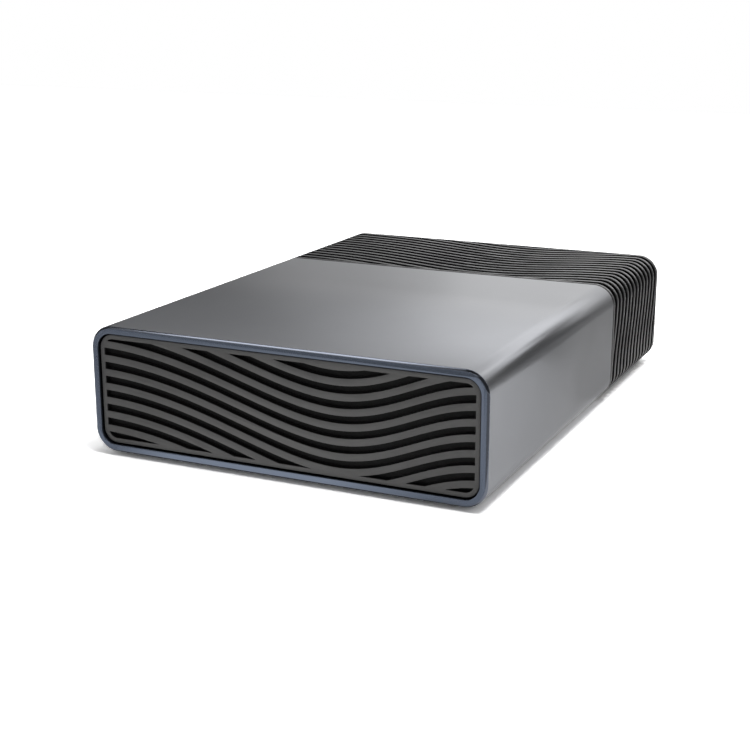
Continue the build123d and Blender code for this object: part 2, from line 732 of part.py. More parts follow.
def panel_screws():
    """Four cross-head screws that hold the rear panel to the shroud."""
    cross = Rectangle(PANEL_CROSS_SPAN, PANEL_CROSS_WIDTH)
    cross += Rectangle(PANEL_CROSS_WIDTH, PANEL_CROSS_SPAN)
    head_rear = PANEL_REAR + PANEL_HEAD_HEIGHT
    screws = []
    for x, z in panel_screw_places():
        head = lengthwise(x, z, PANEL_REAR, head_rear, PANEL_HEAD_RADIUS)
        head = chamfer(head.faces().sort_by(Axis.Y)[-1].edges(), PANEL_HEAD_HEIGHT / 3)
        recess = deepened(Pos(x, 0) * cross, head_rear - PANEL_CROSS_DEPTH, head_rear + CUT_OVERRUN, z)
        head = head - recess
        tip_y = PANEL_FRONT - PANEL_SCREW_LENGTH + LOOSE_GAP
        screws.append(joined(head, lengthwise(x, z, tip_y, PANEL_REAR, PANEL_SCREW_RADIUS)))
    return group(screws)


def foot(x, y, top_z):
    """Round rubber pad with a softened lower edge."""
    pad = upright(x, y, 0, top_z, FOOT_RADIUS)
    return chamfer(pad.faces().sort_by(Axis.Z)[0].edges(), FOOT_EDGE)


def front_feet():
    """Pads bonded to the sleeve."""
    return group([foot(x, FRONT_FOOT_Y, CASE_BOTTOM) for x in (-FOOT_X, FOOT_X)])


def rear_feet():
    """Pads in the shroud's pockets, over its screws."""
    return group([foot(x, REAR_FOOT_Y, CASE_BOTTOM + FOOT_POCKET) for x in (-FOOT_X, FOOT_X)])


def shroud_screws():
    """Two screws from below that hold the shroud to the tray."""
    head_z = CASE_BOTTOM + FOOT_POCKET
    screws = []
    for x in (-FOOT_X, FOOT_X):
        head = upright(x, REAR_FOOT_Y, head_z, head_z + SHROUD_HEAD_HEIGHT, SHROUD_HEAD_RADIUS)
        shank = upright(x, REAR_FOOT_Y, head_z, TRAY_TOP_Z + COLLAR_HEIGHT, SHROUD_SCREW_RADIUS)
        screws.append(joined(head, shank))
    return group(screws)


# Tray

def drive_hole_places():
    """X and Y of the disk's four bottom holes."""
    x = DRIVE_HOLE_SPACING / 2
    rear = DRIVE_REAR_Y - DRIVE_HOLE_REAR
    return [(i * x, rear - j * DRIVE_HOLE_PITCH) for i in (-1, 1) for j in (0, 1)]


def drive_tray():
    """Bent steel tray whose flanges run in the sleeve's rails."""
    wall_x = TRAY_INNER_X + TRAY_THICKNESS / 2
    floor_z = TRAY_Z + TRAY_THICKNESS / 2 - CASE_MID_Z
    path = FilletPolyline(
        (-TRAY_FLANGE_X, 0), (-wall_x, 0), (-wall_x, floor_z),
        (wall_x, floor_z), (wall_x, 0), (TRAY_FLANGE_X, 0),
        radius=TRAY_BEND,
    )
    tray = deepened(trace(path, TRAY_THICKNESS), TRAY_FRONT_Y, TRAY_REAR_Y)
    below, above = TRAY_Z - CUT_OVERRUN, TRAY_TOP_Z + CUT_OVERRUN
    for x, y in drive_hole_places():
        tray = tray - upright(x, y, below, above, GROMMET_NECK + SLIDE_GAP)
    slots = []
    slot = Rot(0, 0, 90) * SlotOverall(TRAY_SLOT_LENGTH, TRAY_SLOT_WIDTH)
    for i in range(TRAY_SLOT_COUNT):
        x = (i - (TRAY_SLOT_COUNT - 1) / 2) * TRAY_SLOT_PITCH
        for y in (DRIVE_FRONT_Y + TRAY_SLOT_FROM_END, DRIVE_REAR_Y - TRAY_SLOT_FROM_END):
            slots.append(raised(Pos(x, y) * slot, below, above))
    tray = tray - slots
    collar_top = TRAY_TOP_Z + COLLAR_HEIGHT
    for x in (-FOOT_X, FOOT_X):
        tray = joined(tray, upright(x, REAR_FOOT_Y, TRAY_Z, collar_top, COLLAR_RADIUS))
        radius = SHROUD_SCREW_RADIUS + SLIDE_GAP / 2
        tray = tray - upright(x, REAR_FOOT_Y, below, collar_top + CUT_OVERRUN, radius)
    return tray


def grommets():
    """Rubber bushes in the tray's holes that the disk stands on."""
    bushes = []
    for x, y in drive_hole_places():
        lower = upright(x, y, GROMMET_Z, TRAY_Z, GROMMET_RADIUS)
        neck = upright(x, y, TRAY_Z, TRAY_TOP_Z, GROMMET_NECK)
        upper = upright(x, y, TRAY_TOP_Z, DRIVE_Z, GROMMET_RADIUS)
        bore = upright(x, y, GROMMET_Z - CUT_OVERRUN, DRIVE_Z + CUT_OVERRUN, GROMMET_BORE)
        bushes.append(joined(lower, neck, upper) - bore)
    return group(bushes)


def drive_screws():
    """Screws through the grommets into the disk."""
    screws = []
    for x, y in drive_hole_places():
        head = upright(x, y, HEAD_Z, GROMMET_Z, DRIVE_HEAD_RADIUS)
        head = chamfer(head.faces().sort_by(Axis.Z)[0].edges(), DRIVE_HEAD_HEIGHT / 3)
        shank = upright(x, y, GROMMET_Z, DRIVE_Z + DRIVE_SCREW_GRIP, DRIVE_SCREW_RADIUS)
        screws.append(joined(head, shank))
    return group(screws)


# Disk housing

def drive_outline(inset, corner):
    """Outline of the disk seen from above, moved inwards."""
    centre = Pos(0, (DRIVE_FRONT_Y + DRIVE_REAR_Y) / 2)
    return centre * RectangleRounded(DRIVE_WIDTH - 2 * inset, DRIVE_LENGTH - 2 * inset, corner)


def pocket_outline(grow):
    """Outline of the rear pocket for the head arm, seen from above."""
    low = SPINDLE_Y + POCKET_START - grow
    high = DRIVE_REAR_Y - POCKET_WALL + grow
    width = DRIVE_WIDTH - 2 * POCKET_WALL + 2 * grow
    return Pos(0, (low + high) / 2) * RectangleRounded(width, high - low, POCKET_CORNER + grow)


def cavity_outline(grow):
    """Bowl round the platters together with the pocket for the head arm."""
    return Pos(0, SPINDLE_Y) * Circle(BOWL_RADIUS + grow) + pocket_outline(grow)


def cover_screw_places():
    """X and Y of the cover's screws: four corners and two on the sides."""
    side_x = DRIVE_WIDTH / 2 - COVER_SCREW_INSET
    corner_x = DRIVE_WIDTH / 2 - COVER_SCREW_CORNER
    places = [
        (side_x, PIVOT_Y),
        (corner_x, DRIVE_FRONT_Y + COVER_SCREW_CORNER),
        (corner_x, DRIVE_REAR_Y - COVER_SCREW_CORNER),
    ]
    return [(side * x, y) for side in (-1, 1) for x, y in places]


def disk_board_screw_places():
    """X and Y of the disk board's screws."""
    x = DRIVE_WIDTH / 2 - RECESS_RAIL - DISK_BOARD_SCREW_INSET
    front = DRIVE_FRONT_Y + DISK_BOARD_START + DISK_BOARD_SCREW_INSET
    rear = DRIVE_REAR_Y - PLUG_DEPTH - DISK_BOARD_SCREW_INSET
    return [(side * x, y) for side in (-1, 1) for y in (front, rear)]


def plug_block(grow):
    """Space of the connector at the disk's rear edge."""
    return block(
        about(PLUG_X, PLUG_WIDTH + 2 * grow),
        (DRIVE_REAR_Y - PLUG_DEPTH - grow, DRIVE_REAR_Y),
        about(PLUG_Z, PLUG_HEIGHT + 2 * grow),
    )


def drive_base():
    """Cast housing with the platter bowl, the arm's pocket and an underside recess."""
    base = raised(drive_outline(0, BASE_CORNER), DRIVE_Z, BASE_TOP_Z)
    base = base - raised(cavity_outline(0), FLOOR_Z, BASE_TOP_Z + CUT_OVERRUN)
    recess_half = DRIVE_WIDTH / 2 - RECESS_RAIL
    recess_y = (DRIVE_FRONT_Y + RECESS_START, DRIVE_REAR_Y + CUT_OVERRUN)
    base = base - block((-recess_half, recess_half), recess_y, (0, FLOOR_LOW_Z))
    base = base - upright(0, SPINDLE_Y, 0, FLOOR_LOW_Z, MOTOR_RECESS_RADIUS)
    base = base - upright(0, SPINDLE_Y, 0, FLOOR_Z + CUT_OVERRUN, BEARING_RADIUS + SLIDE_GAP / 2)
    notch = plug_block(LOOSE_GAP)
    base = base - notch - Pos(0, CUT_OVERRUN, 0) * notch
    for x, y in disk_board_screw_places():
        base = joined(base, upright(x, y, DISK_BOARD_TOP_Z, FLOOR_LOW_Z + JOINT_OVERLAP, DISK_BOARD_BOSS))
        radius = DISK_BOARD_SCREW_RADIUS + SLIDE_GAP / 2
        base = base - upright(x, y, DISK_BOARD_TOP_Z, FLOOR_LOW_Z, radius)
    for x, y in drive_hole_places():
        base = base - upright(x, y, 0, DRIVE_Z + HOLE_DEPTH, HOLE_RADIUS)
    for from_rear in SIDE_HOLES_FROM_REAR:
        for side in (-1, 1):
            hole = Pos(side * DRIVE_WIDTH / 2, DRIVE_REAR_Y - from_rear, DRIVE_Z + SIDE_HOLE_HEIGHT)
            base = base - hole * Rot(0, 90, 0) * Cylinder(HOLE_RADIUS, 2 * HOLE_DEPTH)
    for x, y in cover_screw_places():
        depth = COVER_SCREW_LENGTH + LOOSE_GAP
        radius = COVER_SCREW_RADIUS + SLIDE_GAP / 2
        base = base - upright(x, y, BASE_TOP_Z - depth, BASE_TOP_Z, radius)
    return base


def cover_gasket():
    """Thin seal between the casting and its cover, with holes for the screws."""
    seal = raised(drive_outline(GASKET_CLEAR, BASE_CORNER - GASKET_CLEAR), BASE_TOP_Z, COVER_Z)
    seal = seal - raised(cavity_outline(GASKET_CLEAR), BASE_TOP_Z, COVER_Z)
    for x, y in cover_screw_places():
        seal = seal - upright(x, y, BASE_TOP_Z, COVER_Z, COVER_SCREW_RADIUS + SLIDE_GAP)
    return seal


def drive_cover():
    """Pressed cover with a raised middle and sunk screw seats."""
    plate = raised(drive_outline(0, BASE_CORNER), COVER_Z, COVER_TOP_Z - COVER_STEP)
    step = drive_outline(COVER_STEP_INSET, COVER_STEP_INSET)
    plate = joined(plate, raised(step, COVER_Z, COVER_TOP_Z))
    seats = [(x, y, COVER_TOP_Z - COVER_STEP) for x, y in cover_screw_places()]
    seats.append((PIVOT_X, PIVOT_Y, COVER_TOP_Z))
    for x, y, top_z in seats:
        seat_z = top_z - COVER_HEAD_DEPTH
        plate = plate - upright(x, y, seat_z, COVER_TOP_Z, COVER_HEAD_RADIUS + SLIDE_GAP)
        plate = plate - upright(x, y, COVER_Z, COVER_TOP_Z, COVER_SCREW_RADIUS + SLIDE_GAP)
    return plate


def sunk_screw(x, y, top_z):
    """Flat screw whose head lies flush in its seat."""
    seat_z = top_z - COVER_HEAD_DEPTH
    head = upright(x, y, seat_z, top_z, COVER_HEAD_RADIUS)
    return joined(head, upright(x, y, BASE_TOP_Z - COVER_SCREW_LENGTH, seat_z, COVER_SCREW_RADIUS))


def cover_screws():
    """Screws round the cover and one into the head arm's post."""
    rim_z = COVER_TOP_Z - COVER_STEP
    screws = [sunk_screw(x, y, rim_z) for x, y in cover_screw_places()]
    return group(screws + [sunk_screw(PIVOT_X, PIVOT_Y, COVER_TOP_Z)])


# Spindle

def spindle_sleeve():
    """Fixed bearing sleeve with a closed bottom, seated in the casting."""
    low = FLOOR_LOW_Z - LOOSE_GAP
    top = HUB_TOP_Z - HUB_TOP_THICKNESS - CUT_OVERRUN
    body = upright(0, SPINDLE_Y, low, top, BEARING_RADIUS)
    flange = upright(0, SPINDLE_Y, low - LOOSE_GAP, FLOOR_LOW_Z, BEARING_FLANGE_RADIUS)
    radius = SHAFT_RADIUS + SHAFT_CLEARANCE
    bore = upright(0, SPINDLE_Y, low + BEARING_FLOOR, top + CUT_OVERRUN, radius)
    return joined(body, flange) - bore


def tooth_places():
    """Placements that turn one stator tooth round the spindle."""
    step = 360 / STATOR_TEETH
    return [Pos(0, SPINDLE_Y, 0) * Rot(0, 0, step * i) for i in range(STATOR_TEETH)]


def stator_tooth(grow, inner, outer):
    """One tooth of the stator along X, grown for its winding."""
    z_range = (STATOR_Z - grow, STATOR_Z + STATOR_THICKNESS + grow)
    return block((inner, outer), about(0, TOOTH_WIDTH + 2 * grow), z_range)


def motor_stator():
    """Laminated core with teeth round the bearing sleeve."""
    top = STATOR_Z + STATOR_THICKNESS
    core = upright(0, SPINDLE_Y, STATOR_Z, top, STATOR_CORE_RADIUS)
    teeth = [place * stator_tooth(0, BEARING_RADIUS, STATOR_RADIUS) for place in tooth_places()]
    core = joined(core, *teeth)
    return core - upright(0, SPINDLE_Y, STATOR_Z, top, BEARING_RADIUS + SLIDE_GAP / 2)


def motor_windings():
    """Copper wound round each tooth."""
    inner, outer = STATOR_CORE_RADIUS + LOOSE_GAP, STATOR_RADIUS - LOOSE_GAP
    core = stator_tooth(0, inner - CUT_OVERRUN, outer + CUT_OVERRUN)
    coil = stator_tooth(WINDING_THICKNESS, inner, outer) - core
    return group([place * coil for place in tooth_places()])


def spindle_hub():
    """Cup-shaped rotor with its shaft and the flange that carries the platters."""
    flange_z = PLATTER_Z - HUB_FLANGE_THICKNESS
    low = STATOR_Z - WINDING_THICKNESS
    cup = upright(0, SPINDLE_Y, low, HUB_TOP_Z, HUB_RADIUS)
    cup = joined(cup, upright(0, SPINDLE_Y, flange_z, PLATTER_Z, HUB_FLANGE_RADIUS))
    hollow_top = HUB_TOP_Z - HUB_TOP_THICKNESS
    cup = cup - upright(0, SPINDLE_Y, low, hollow_top, HUB_RADIUS - HUB_WALL)
    shaft_low = FLOOR_LOW_Z + BEARING_FLOOR
    cup = joined(cup, upright(0, SPINDLE_Y, shaft_low, hollow_top + CUT_OVERRUN, SHAFT_RADIUS))
    for x, y in clamp_screw_places():
        cup = cup - upright(x, y, hollow_top, HUB_TOP_Z, CLAMP_SCREW_RADIUS + SLIDE_GAP / 2)
    return cup


def clamp_screw_places():
    """X and Y of the four screws that press the clamp down."""
    places = []
    for i in range(CLAMP_SCREW_COUNT):
        angle = math.tau * (i + 0.5) / CLAMP_SCREW_COUNT
        x = CLAMP_SCREW_CIRCLE * math.cos(angle)
        places.append((x, SPINDLE_Y + CLAMP_SCREW_CIRCLE * math.sin(angle)))
    return places


def rotor_magnet():
    """Magnet ring bonded inside the rotor."""
    inner = STATOR_RADIUS + MAGNET_GAP
    outer = HUB_RADIUS - HUB_WALL - SLIDE_GAP / 2
    low, high = STATOR_Z - LOOSE_GAP, STATOR_Z + STATOR_THICKNESS + LOOSE_GAP
    return washer(0, SPINDLE_Y, low, high, inner, outer)


def platters():
    """Three polished platters."""
    inner = HUB_RADIUS + SLIDE_GAP / 2
    discs = []
    for i in range(PLATTER_COUNT):
        z = PLATTER_Z + i * PLATTER_PITCH
        discs.append(washer(0, SPINDLE_Y, z, z + PLATTER_THICKNESS, inner, PLATTER_RADIUS))
    return group(discs)


def platter_spacers():
    """Rings between the platters."""
    inner = HUB_RADIUS + SLIDE_GAP / 2
    rings = []
    for i in range(PLATTER_COUNT - 1):
        z = PLATTER_Z + i * PLATTER_PITCH + PLATTER_THICKNESS
        rings.append(washer(0, SPINDLE_Y, z, z + PLATTER_GAP, inner, SPACER_RADIUS))
    return group(rings)


def platter_clamp():
    """Disc screwed to the rotor that presses the stack together."""
    disc = upright(0, SPINDLE_Y, STACK_TOP_Z, CLAMP_TOP_Z, CLAMP_RADIUS)
    disc = disc - upright(0, SPINDLE_Y, STACK_TOP_Z, CLAMP_TOP_Z, CLAMP_BORE_RADIUS)
    for x, y in clamp_screw_places():
        disc = disc - upright(x, y, STACK_TOP_Z, CLAMP_TOP_Z, CLAMP_SCREW_RADIUS + SLIDE_GAP / 2)
    return disc


def clamp_screws():
    """Screws through the clamp into the rotor."""
    screws = []
    low = HUB_TOP_Z - HUB_TOP_THICKNESS
    for x, y in clamp_screw_places():
        head = upright(x, y, CLAMP_TOP_Z, CLAMP_TOP_Z + CLAMP_HEAD_HEIGHT, CLAMP_HEAD_RADIUS)
        screws.append(joined(head, upright(x, y, low, CLAMP_TOP_Z, CLAMP_SCREW_RADIUS)))
    return group(screws)


# Head arm, drawn along +X about its pivot at its own origin, then turned to the parked place

def parked(shape):
    """Turn a shape of the head arm to its parked place."""
    return Pos(PIVOT_X, PIVOT_Y, 0) * Rot(0, 0, PARKED_ANGLE) * shape


def fan(inner, outer, low_angle, high_angle):
    """Ring sector about the pivot, seen from above."""
    far = 2 * outer
    middle = math.radians((low_angle + high_angle) / 2)
    points = [(0, 0)]
    for angle in (math.radians(low_angle), middle, math.radians(high_angle)):
        points.append((far * math.cos(angle), far * math.sin(angle)))
    wedge = make_face(Polyline(*points, close=True))
    return (Circle(outer) - Circle(inner)) & wedge


def pivot_post():
    """Fixed post that the head arm turns on."""
    disc_top = ARM_LEVELS[0] - ARM_THICKNESS
    foot_disc = upright(PIVOT_X, PIVOT_Y, FLOOR_Z, disc_top, PIVOT_BEARING_RADIUS)
    post = upright(PIVOT_X, PIVOT_Y, FLOOR_Z, COVER_Z, PIVOT_RADIUS)
    depth = BASE_TOP_Z - COVER_SCREW_LENGTH - LOOSE_GAP
    hole = upright(PIVOT_X, PIVOT_Y, depth, COVER_Z, COVER_SCREW_RADIUS + SLIDE_GAP / 2)
    return joined(foot_disc, post) - hole


def pivot_bearing():
    """Bearing cartridge between the post and the arm block."""
    low, high = ARM_LEVELS[0] - ARM_THICKNESS / 2, ARM_LEVELS[-1] + ARM_THICKNESS / 2
    return washer(PIVOT_X, PIVOT_Y, low, high, PIVOT_RADIUS + PIVOT_CLEARANCE, PIVOT_BEARING_RADIUS)


def arm_section():
    """Tapered arm from the barrel to the suspensions, with one lightening hole."""
    root = Circle(ARM_ROOT_RADIUS).edge()
    tip = (Pos(ARM_LENGTH, 0) * Circle(ARM_TIP_RADIUS)).edge()
    return make_hull([root, tip]) - Pos(ARM_LENGTH / 2, 0) * Circle(ARM_HOLE_RADIUS)


def coil_section(grow):
    """Fan-shaped outline of the voice coil, on the far side of the pivot."""
    opening = COIL_HALF_ANGLE + math.degrees(grow / COIL_OUTER)
    return fan(COIL_INNER - grow, COIL_OUTER + grow, 180 - opening, 180 + opening)


def arm_block():
    """Machined block: barrel, one arm for each level and the frame round the coil."""
    low, high = ARM_LEVELS[0] - ARM_THICKNESS / 2, ARM_LEVELS[-1] + ARM_THICKNESS / 2
    body = upright(0, 0, low, high, BARREL_RADIUS)
    for level in ARM_LEVELS:
        body = joined(body, raised(arm_section(), *about(level, ARM_THICKNESS)))
    frame_low, frame_high = about(COIL_Z, FRAME_THICKNESS)
    opening = COIL_HALF_ANGLE + math.degrees(FRAME_WALL / COIL_OUTER)
    frame = fan(BARREL_RADIUS / 2, COIL_OUTER + FRAME_WALL, 180 - opening, 180 + opening)
    body = joined(body, raised(frame, frame_low, frame_high))
    body = body - raised(coil_section(SLIDE_GAP), frame_low - CUT_OVERRUN, frame_high + CUT_OVERRUN)
    bore_radius = PIVOT_BEARING_RADIUS + SLIDE_GAP / 2
    body = body - upright(0, 0, low - CUT_OVERRUN, high + CUT_OVERRUN, bore_radius)
    return parked(body)


def voice_coil():
    """Flat copper coil in the arm block's frame."""
    inner_opening = COIL_HALF_ANGLE - math.degrees(COIL_WIRE / COIL_OUTER)
    inner, outer = COIL_INNER + COIL_WIRE, COIL_OUTER - COIL_WIRE
    winding = coil_section(0) - fan(inner, outer, 180 - inner_opening, 180 + inner_opening)
    return parked(raised(winding, *about(COIL_Z, COIL_THICKNESS)))


def head_faces():
    """Level and side of each head: one facing every platter surface."""
    faces = [(level, 1) for level in ARM_LEVELS[:-1]]
    return faces + [(level, -1) for level in ARM_LEVELS[1:]]


def stacked(section, level, side, offset, thickness):
    """Thin plate on the upper or lower side of an arm."""
    near, far = level + side * offset, level + side * (offset + thickness)
    return raised(section, min(near, far), max(near, far))


def head_suspensions():
    """Thin springs that carry the heads, each ending in a lift tab."""
    start = ARM_LENGTH - SUSPENSION_OVERLAP
    end = HEAD_REACH + SLIDER_LENGTH
    plate = make_face(Polyline(
        (start, -SUSPENSION_ROOT / 2), (end, -SUSPENSION_TIP / 2),
        (end, SUSPENSION_TIP / 2), (start, SUSPENSION_ROOT / 2),
        close=True,
    ))
    tab = Pos(end + TAB_LENGTH / 2, 0) * Rectangle(TAB_LENGTH, SUSPENSION_TIP / 2)
    springs = []
    for level, side in head_faces():
        spring = stacked(plate + tab, level, side, ARM_THICKNESS / 2, SUSPENSION_THICKNESS)
        springs.append(parked(spring))
    return group(springs)


def head_sliders():
    """Sliders with the heads, one for every platter surface."""
    section = Pos(HEAD_REACH, 0) * Rectangle(SLIDER_LENGTH, SLIDER_WIDTH)
    offset = ARM_THICKNESS / 2 + SUSPENSION_THICKNESS
    return group([
        parked(stacked(section, level, side, offset, SLIDER_HEIGHT)) for level, side in head_faces()
    ])


def yoke_outline(inner, outer):
    """Fan about the pivot for a yoke or magnet, kept inside the pocket."""
    section = Pos(PIVOT_X, PIVOT_Y) * fan(inner, outer, *YOKE_ANGLES)
    return section & pocket_outline(-LOOSE_GAP)


def lower_yoke():
    """Steel plate on the casting's floor under the coil."""
    return raised(yoke_outline(YOKE_INNER, YOKE_OUTER), FLOOR_Z, FLOOR_Z + YOKE_THICKNESS)


def upper_yoke():
    """Steel plate over the coil, on its posts."""
    low = BASE_TOP_Z - YOKE_THICKNESS
    return raised(yoke_outline(YOKE_INNER, YOKE_OUTER), low, BASE_TOP_Z)


def coil_magnets():
    """One magnet on each yoke."""
    section = yoke_outline(COIL_INNER, MAGNET_OUTER)
    low = FLOOR_Z + YOKE_THICKNESS
    high = BASE_TOP_Z - YOKE_THICKNESS
    return group([
        raised(section, low, low + MAGNET_THICKNESS),
        raised(section, high - MAGNET_THICKNESS, high),
    ])


def yoke_posts():
    """Posts between the yokes, outside the coil's sweep."""
    radius = MAGNET_OUTER + YOKE_POST_GAP + YOKE_POST_RADIUS
    low, high = FLOOR_Z + YOKE_THICKNESS, BASE_TOP_Z - YOKE_THICKNESS
    posts = []
    for angle in YOKE_POST_ANGLES:
        x = PIVOT_X + radius * math.cos(math.radians(angle))
        y = PIVOT_Y + radius * math.sin(math.radians(angle))
        posts.append(upright(x, y, low, high, YOKE_POST_RADIUS))
    return group(posts)


def load_ramp():
    """Comb beside the platters that the lift tabs rest on when the heads are parked."""
    inner = HEAD_REACH + SLIDER_LENGTH + RAMP_CLEAR
    post_inner = inner + TAB_LENGTH + RAMP_CLEAR
    turn = (PARKED_ANGLE - RAMP_HALF_ANGLE, PARKED_ANGLE + RAMP_HALF_ANGLE)
    place = Pos(PIVOT_X, PIVOT_Y)
    rim = Pos(0, SPINDLE_Y) * Circle(PLATTER_RADIUS + RAMP_EDGE_GAP)
    top = ARM_LEVELS[-1] + ARM_THICKNESS
    ramp = raised(place * fan(post_inner, RAMP_OUTER, *turn) - rim, FLOOR_Z, top)
    fin = place * fan(inner, post_inner + RAMP_CLEAR, *turn) - rim
    for i in range(PLATTER_COUNT):
        low = PLATTER_Z + i * PLATTER_PITCH - RAMP_FIN
        ramp = joined(ramp, raised(fin, low, low + PLATTER_THICKNESS + 2 * RAMP_FIN))
    return ramp


def flex_bracket():
    """Block on the casting's floor where the head arm's flexible circuit is fixed."""
    width, depth, height = BRACKET_SIZE
    y_range = about(PIVOT_Y + BRACKET_BEHIND_PIVOT, depth)
    return block(about(BRACKET_X, width), y_range, (FLOOR_Z, FLOOR_Z + height))


def recirculation_filter():
    """Small filter beside the platters that cleans the air they drive round."""
    width, depth, height = AIR_FILTER_SIZE
    low_x = -DRIVE_WIDTH / 2 + POCKET_WALL + LOOSE_GAP
    return block((low_x, low_x + width), about(PIVOT_Y, depth), (FLOOR_Z, FLOOR_Z + height))


# Disk electronics

def drive_board():
    """Disk board in the casting's underside recess, with cut corners at the motor end."""
    half = DRIVE_WIDTH / 2 - RECESS_RAIL - LOOSE_GAP
    front, rear = DRIVE_FRONT_Y + DISK_BOARD_START, DRIVE_REAR_Y - PLUG_DEPTH
    low, high = DISK_BOARD_Z, DISK_BOARD_TOP_Z
    board = block((-half, half), (front, rear), (low, high))
    board = board - upright(0, SPINDLE_Y, low, high, MOTOR_RECESS_RADIUS + DISK_BOARD_CLEAR)
    for x, y in disk_board_screw_places():
        board = board - upright(x, y, low, high, DISK_BOARD_SCREW_RADIUS + SLIDE_GAP)
    return board


def drive_chips():
    """Controller, memory and motor driver on the board's inner side."""
    low, high = DISK_BOARD_TOP_Z, DISK_BOARD_TOP_Z + DISK_CHIP_HEIGHT
    middle = (DRIVE_FRONT_Y + DISK_BOARD_START + DRIVE_REAR_Y) / 2
    return group([block(about(x, w), about(middle + y, d), (low, high)) for x, y, w, d in DISK_CHIPS])


def board_foam():
    """Foam pad between the chips and the casting."""
    front = DRIVE_FRONT_Y + DISK_BOARD_START + FOAM_MARGIN
    rear = DRIVE_REAR_Y - PLUG_DEPTH - FOAM_MARGIN
    low = FLOOR_LOW_Z - FOAM_THICKNESS
    return block(about(0, FOAM_WIDTH), (front, rear), (low, FLOOR_LOW_Z))


def drive_board_screws():
    """Screws that hold the disk board to the casting."""
    head_z = DISK_BOARD_Z - DISK_BOARD_HEAD_HEIGHT
    screws = []
    for x, y in disk_board_screw_places():
        head = upright(x, y, head_z, DISK_BOARD_Z, DISK_BOARD_HEAD_RADIUS)
        shank = upright(x, y, DISK_BOARD_Z, FLOOR_LOW_Z - LOOSE_GAP, DISK_BOARD_SCREW_RADIUS)
        screws.append(joined(head, shank))
    return group(screws)


def plug_mouth(shrink, depth_low, depth_high):
    """Space inside the connector's shell, or what fills it when shrunk."""
    width = PLUG_WIDTH - 2 * PLUG_WALL - 2 * shrink
    height = PLUG_HEIGHT - 2 * PLUG_WALL - 2 * shrink
    return block(about(PLUG_X, width), (depth_low, depth_high), about(PLUG_Z, height))


def tongue(grow, depth_low, depth_high):
    """Contact tongue of the disk's connector."""
    width = PLUG_WIDTH - 2 * TONGUE_MARGIN + 2 * grow
    height = TONGUE_THICKNESS + 2 * grow
    return block(about(PLUG_X, width), (depth_low, depth_high), about(PLUG_Z, height))


def sata_plug():
    """Connector shell on the disk with its contact tongue."""
    mouth_y = DRIVE_REAR_Y - PLUG_MOUTH
    shell = plug_block(0) - plug_mouth(0, mouth_y, DRIVE_REAR_Y + CUT_OVERRUN)
    return joined(shell, tongue(0, mouth_y - JOINT_OVERLAP, DRIVE_REAR_Y - PLUG_WALL))


def sata_socket():
    """Socket on the bridge board's edge that takes the disk's connector."""
    body_front = DRIVE_REAR_Y + LOOSE_GAP
    body = block(
        about(PLUG_X, PLUG_WIDTH - 2 * PLUG_WALL),
        (body_front, SOCKET_REAR_Y),
        about(PLUG_Z, PLUG_HEIGHT),
    )
    nose = plug_mouth(SLIDE_GAP, DRIVE_REAR_Y - PLUG_MOUTH + LOOSE_GAP, body_front + JOINT_OVERLAP)
    socket = joined(body, nose) - tongue(SLIDE_GAP, DRIVE_REAR_Y - PLUG_MOUTH, body_front)
    leg_y = (SOCKET_REAR_Y - JOINT_OVERLAP, SOCKET_REAR_Y + SOCKET_LEG)
    for level in (BOARD_TOP_Z, BOARD_Z - SOCKET_LEG_THICKNESS):
        leg = block(about(PLUG_X, SOCKET_LEG_WIDTH), leg_y, (level, level + SOCKET_LEG_THICKNESS))
        socket = joined(socket, leg)
    return socket


# Bridge board and rear ports

def standoff_places():
    """X and Y of the bridge board's two standoffs."""
    return [(side * STANDOFF_X, PANEL_FRONT - STANDOFF_FROM_PANEL) for side in (-1, 1)]


def bridge_board():
    """Board that joins the disk's connector to the rear ports."""
    half = TRAY_INNER_X - BOARD_SIDE_GAP
    board = block((-half, half), (SOCKET_REAR_Y, BOARD_REAR_Y), (BOARD_Z, BOARD_TOP_Z))
    for x, y in standoff_places():
        board = board - upright(x, y, BOARD_Z, BOARD_TOP_Z, BOARD_SCREW_RADIUS + SLIDE_GAP)
    return board


def bridge_chips():
    """Converter chip, coils and capacitors of the bridge board."""
    y = (SOCKET_REAR_Y + SOCKET_LEG + BOARD_REAR_Y) / 2
    chips = [block(about(x, w), about(y, d), (BOARD_Z - h, BOARD_Z)) for x, w, d, h in BRIDGE_CHIPS]
    for x in CAPACITOR_X:
        chips.append(upright(x, y, BOARD_TOP_Z, BOARD_TOP_Z + CAPACITOR_HEIGHT, CAPACITOR_RADIUS))
    lamp_y = (PANEL_REAR - LIGHT_LENGTH - LAMP_WIDTH, PANEL_REAR - LIGHT_LENGTH + LOOSE_GAP)
    chips.append(block(about(LIGHT_X, LAMP_WIDTH), lamp_y, (BOARD_TOP_Z, LIGHT_Z + LIGHT_RADIUS)))
    return group(chips)


def board_standoffs():
    """Threaded posts between the tray and the bridge board."""
    return group([
        washer(x, y, TRAY_TOP_Z, BOARD_Z, BOARD_SCREW_RADIUS + SLIDE_GAP / 2, STANDOFF_RADIUS)
        for x, y in standoff_places()
    ])


def board_screws():
    """Screws that hold the bridge board down."""
    screws = []
    for x, y in standoff_places():
        head = upright(x, y, BOARD_TOP_Z, BOARD_TOP_Z + BOARD_HEAD_HEIGHT, BOARD_HEAD_RADIUS)
        shank = upright(x, y, TRAY_TOP_Z + LOOSE_GAP, BOARD_TOP_Z, BOARD_SCREW_RADIUS)
        screws.append(joined(head, shank))
    return group(screws)


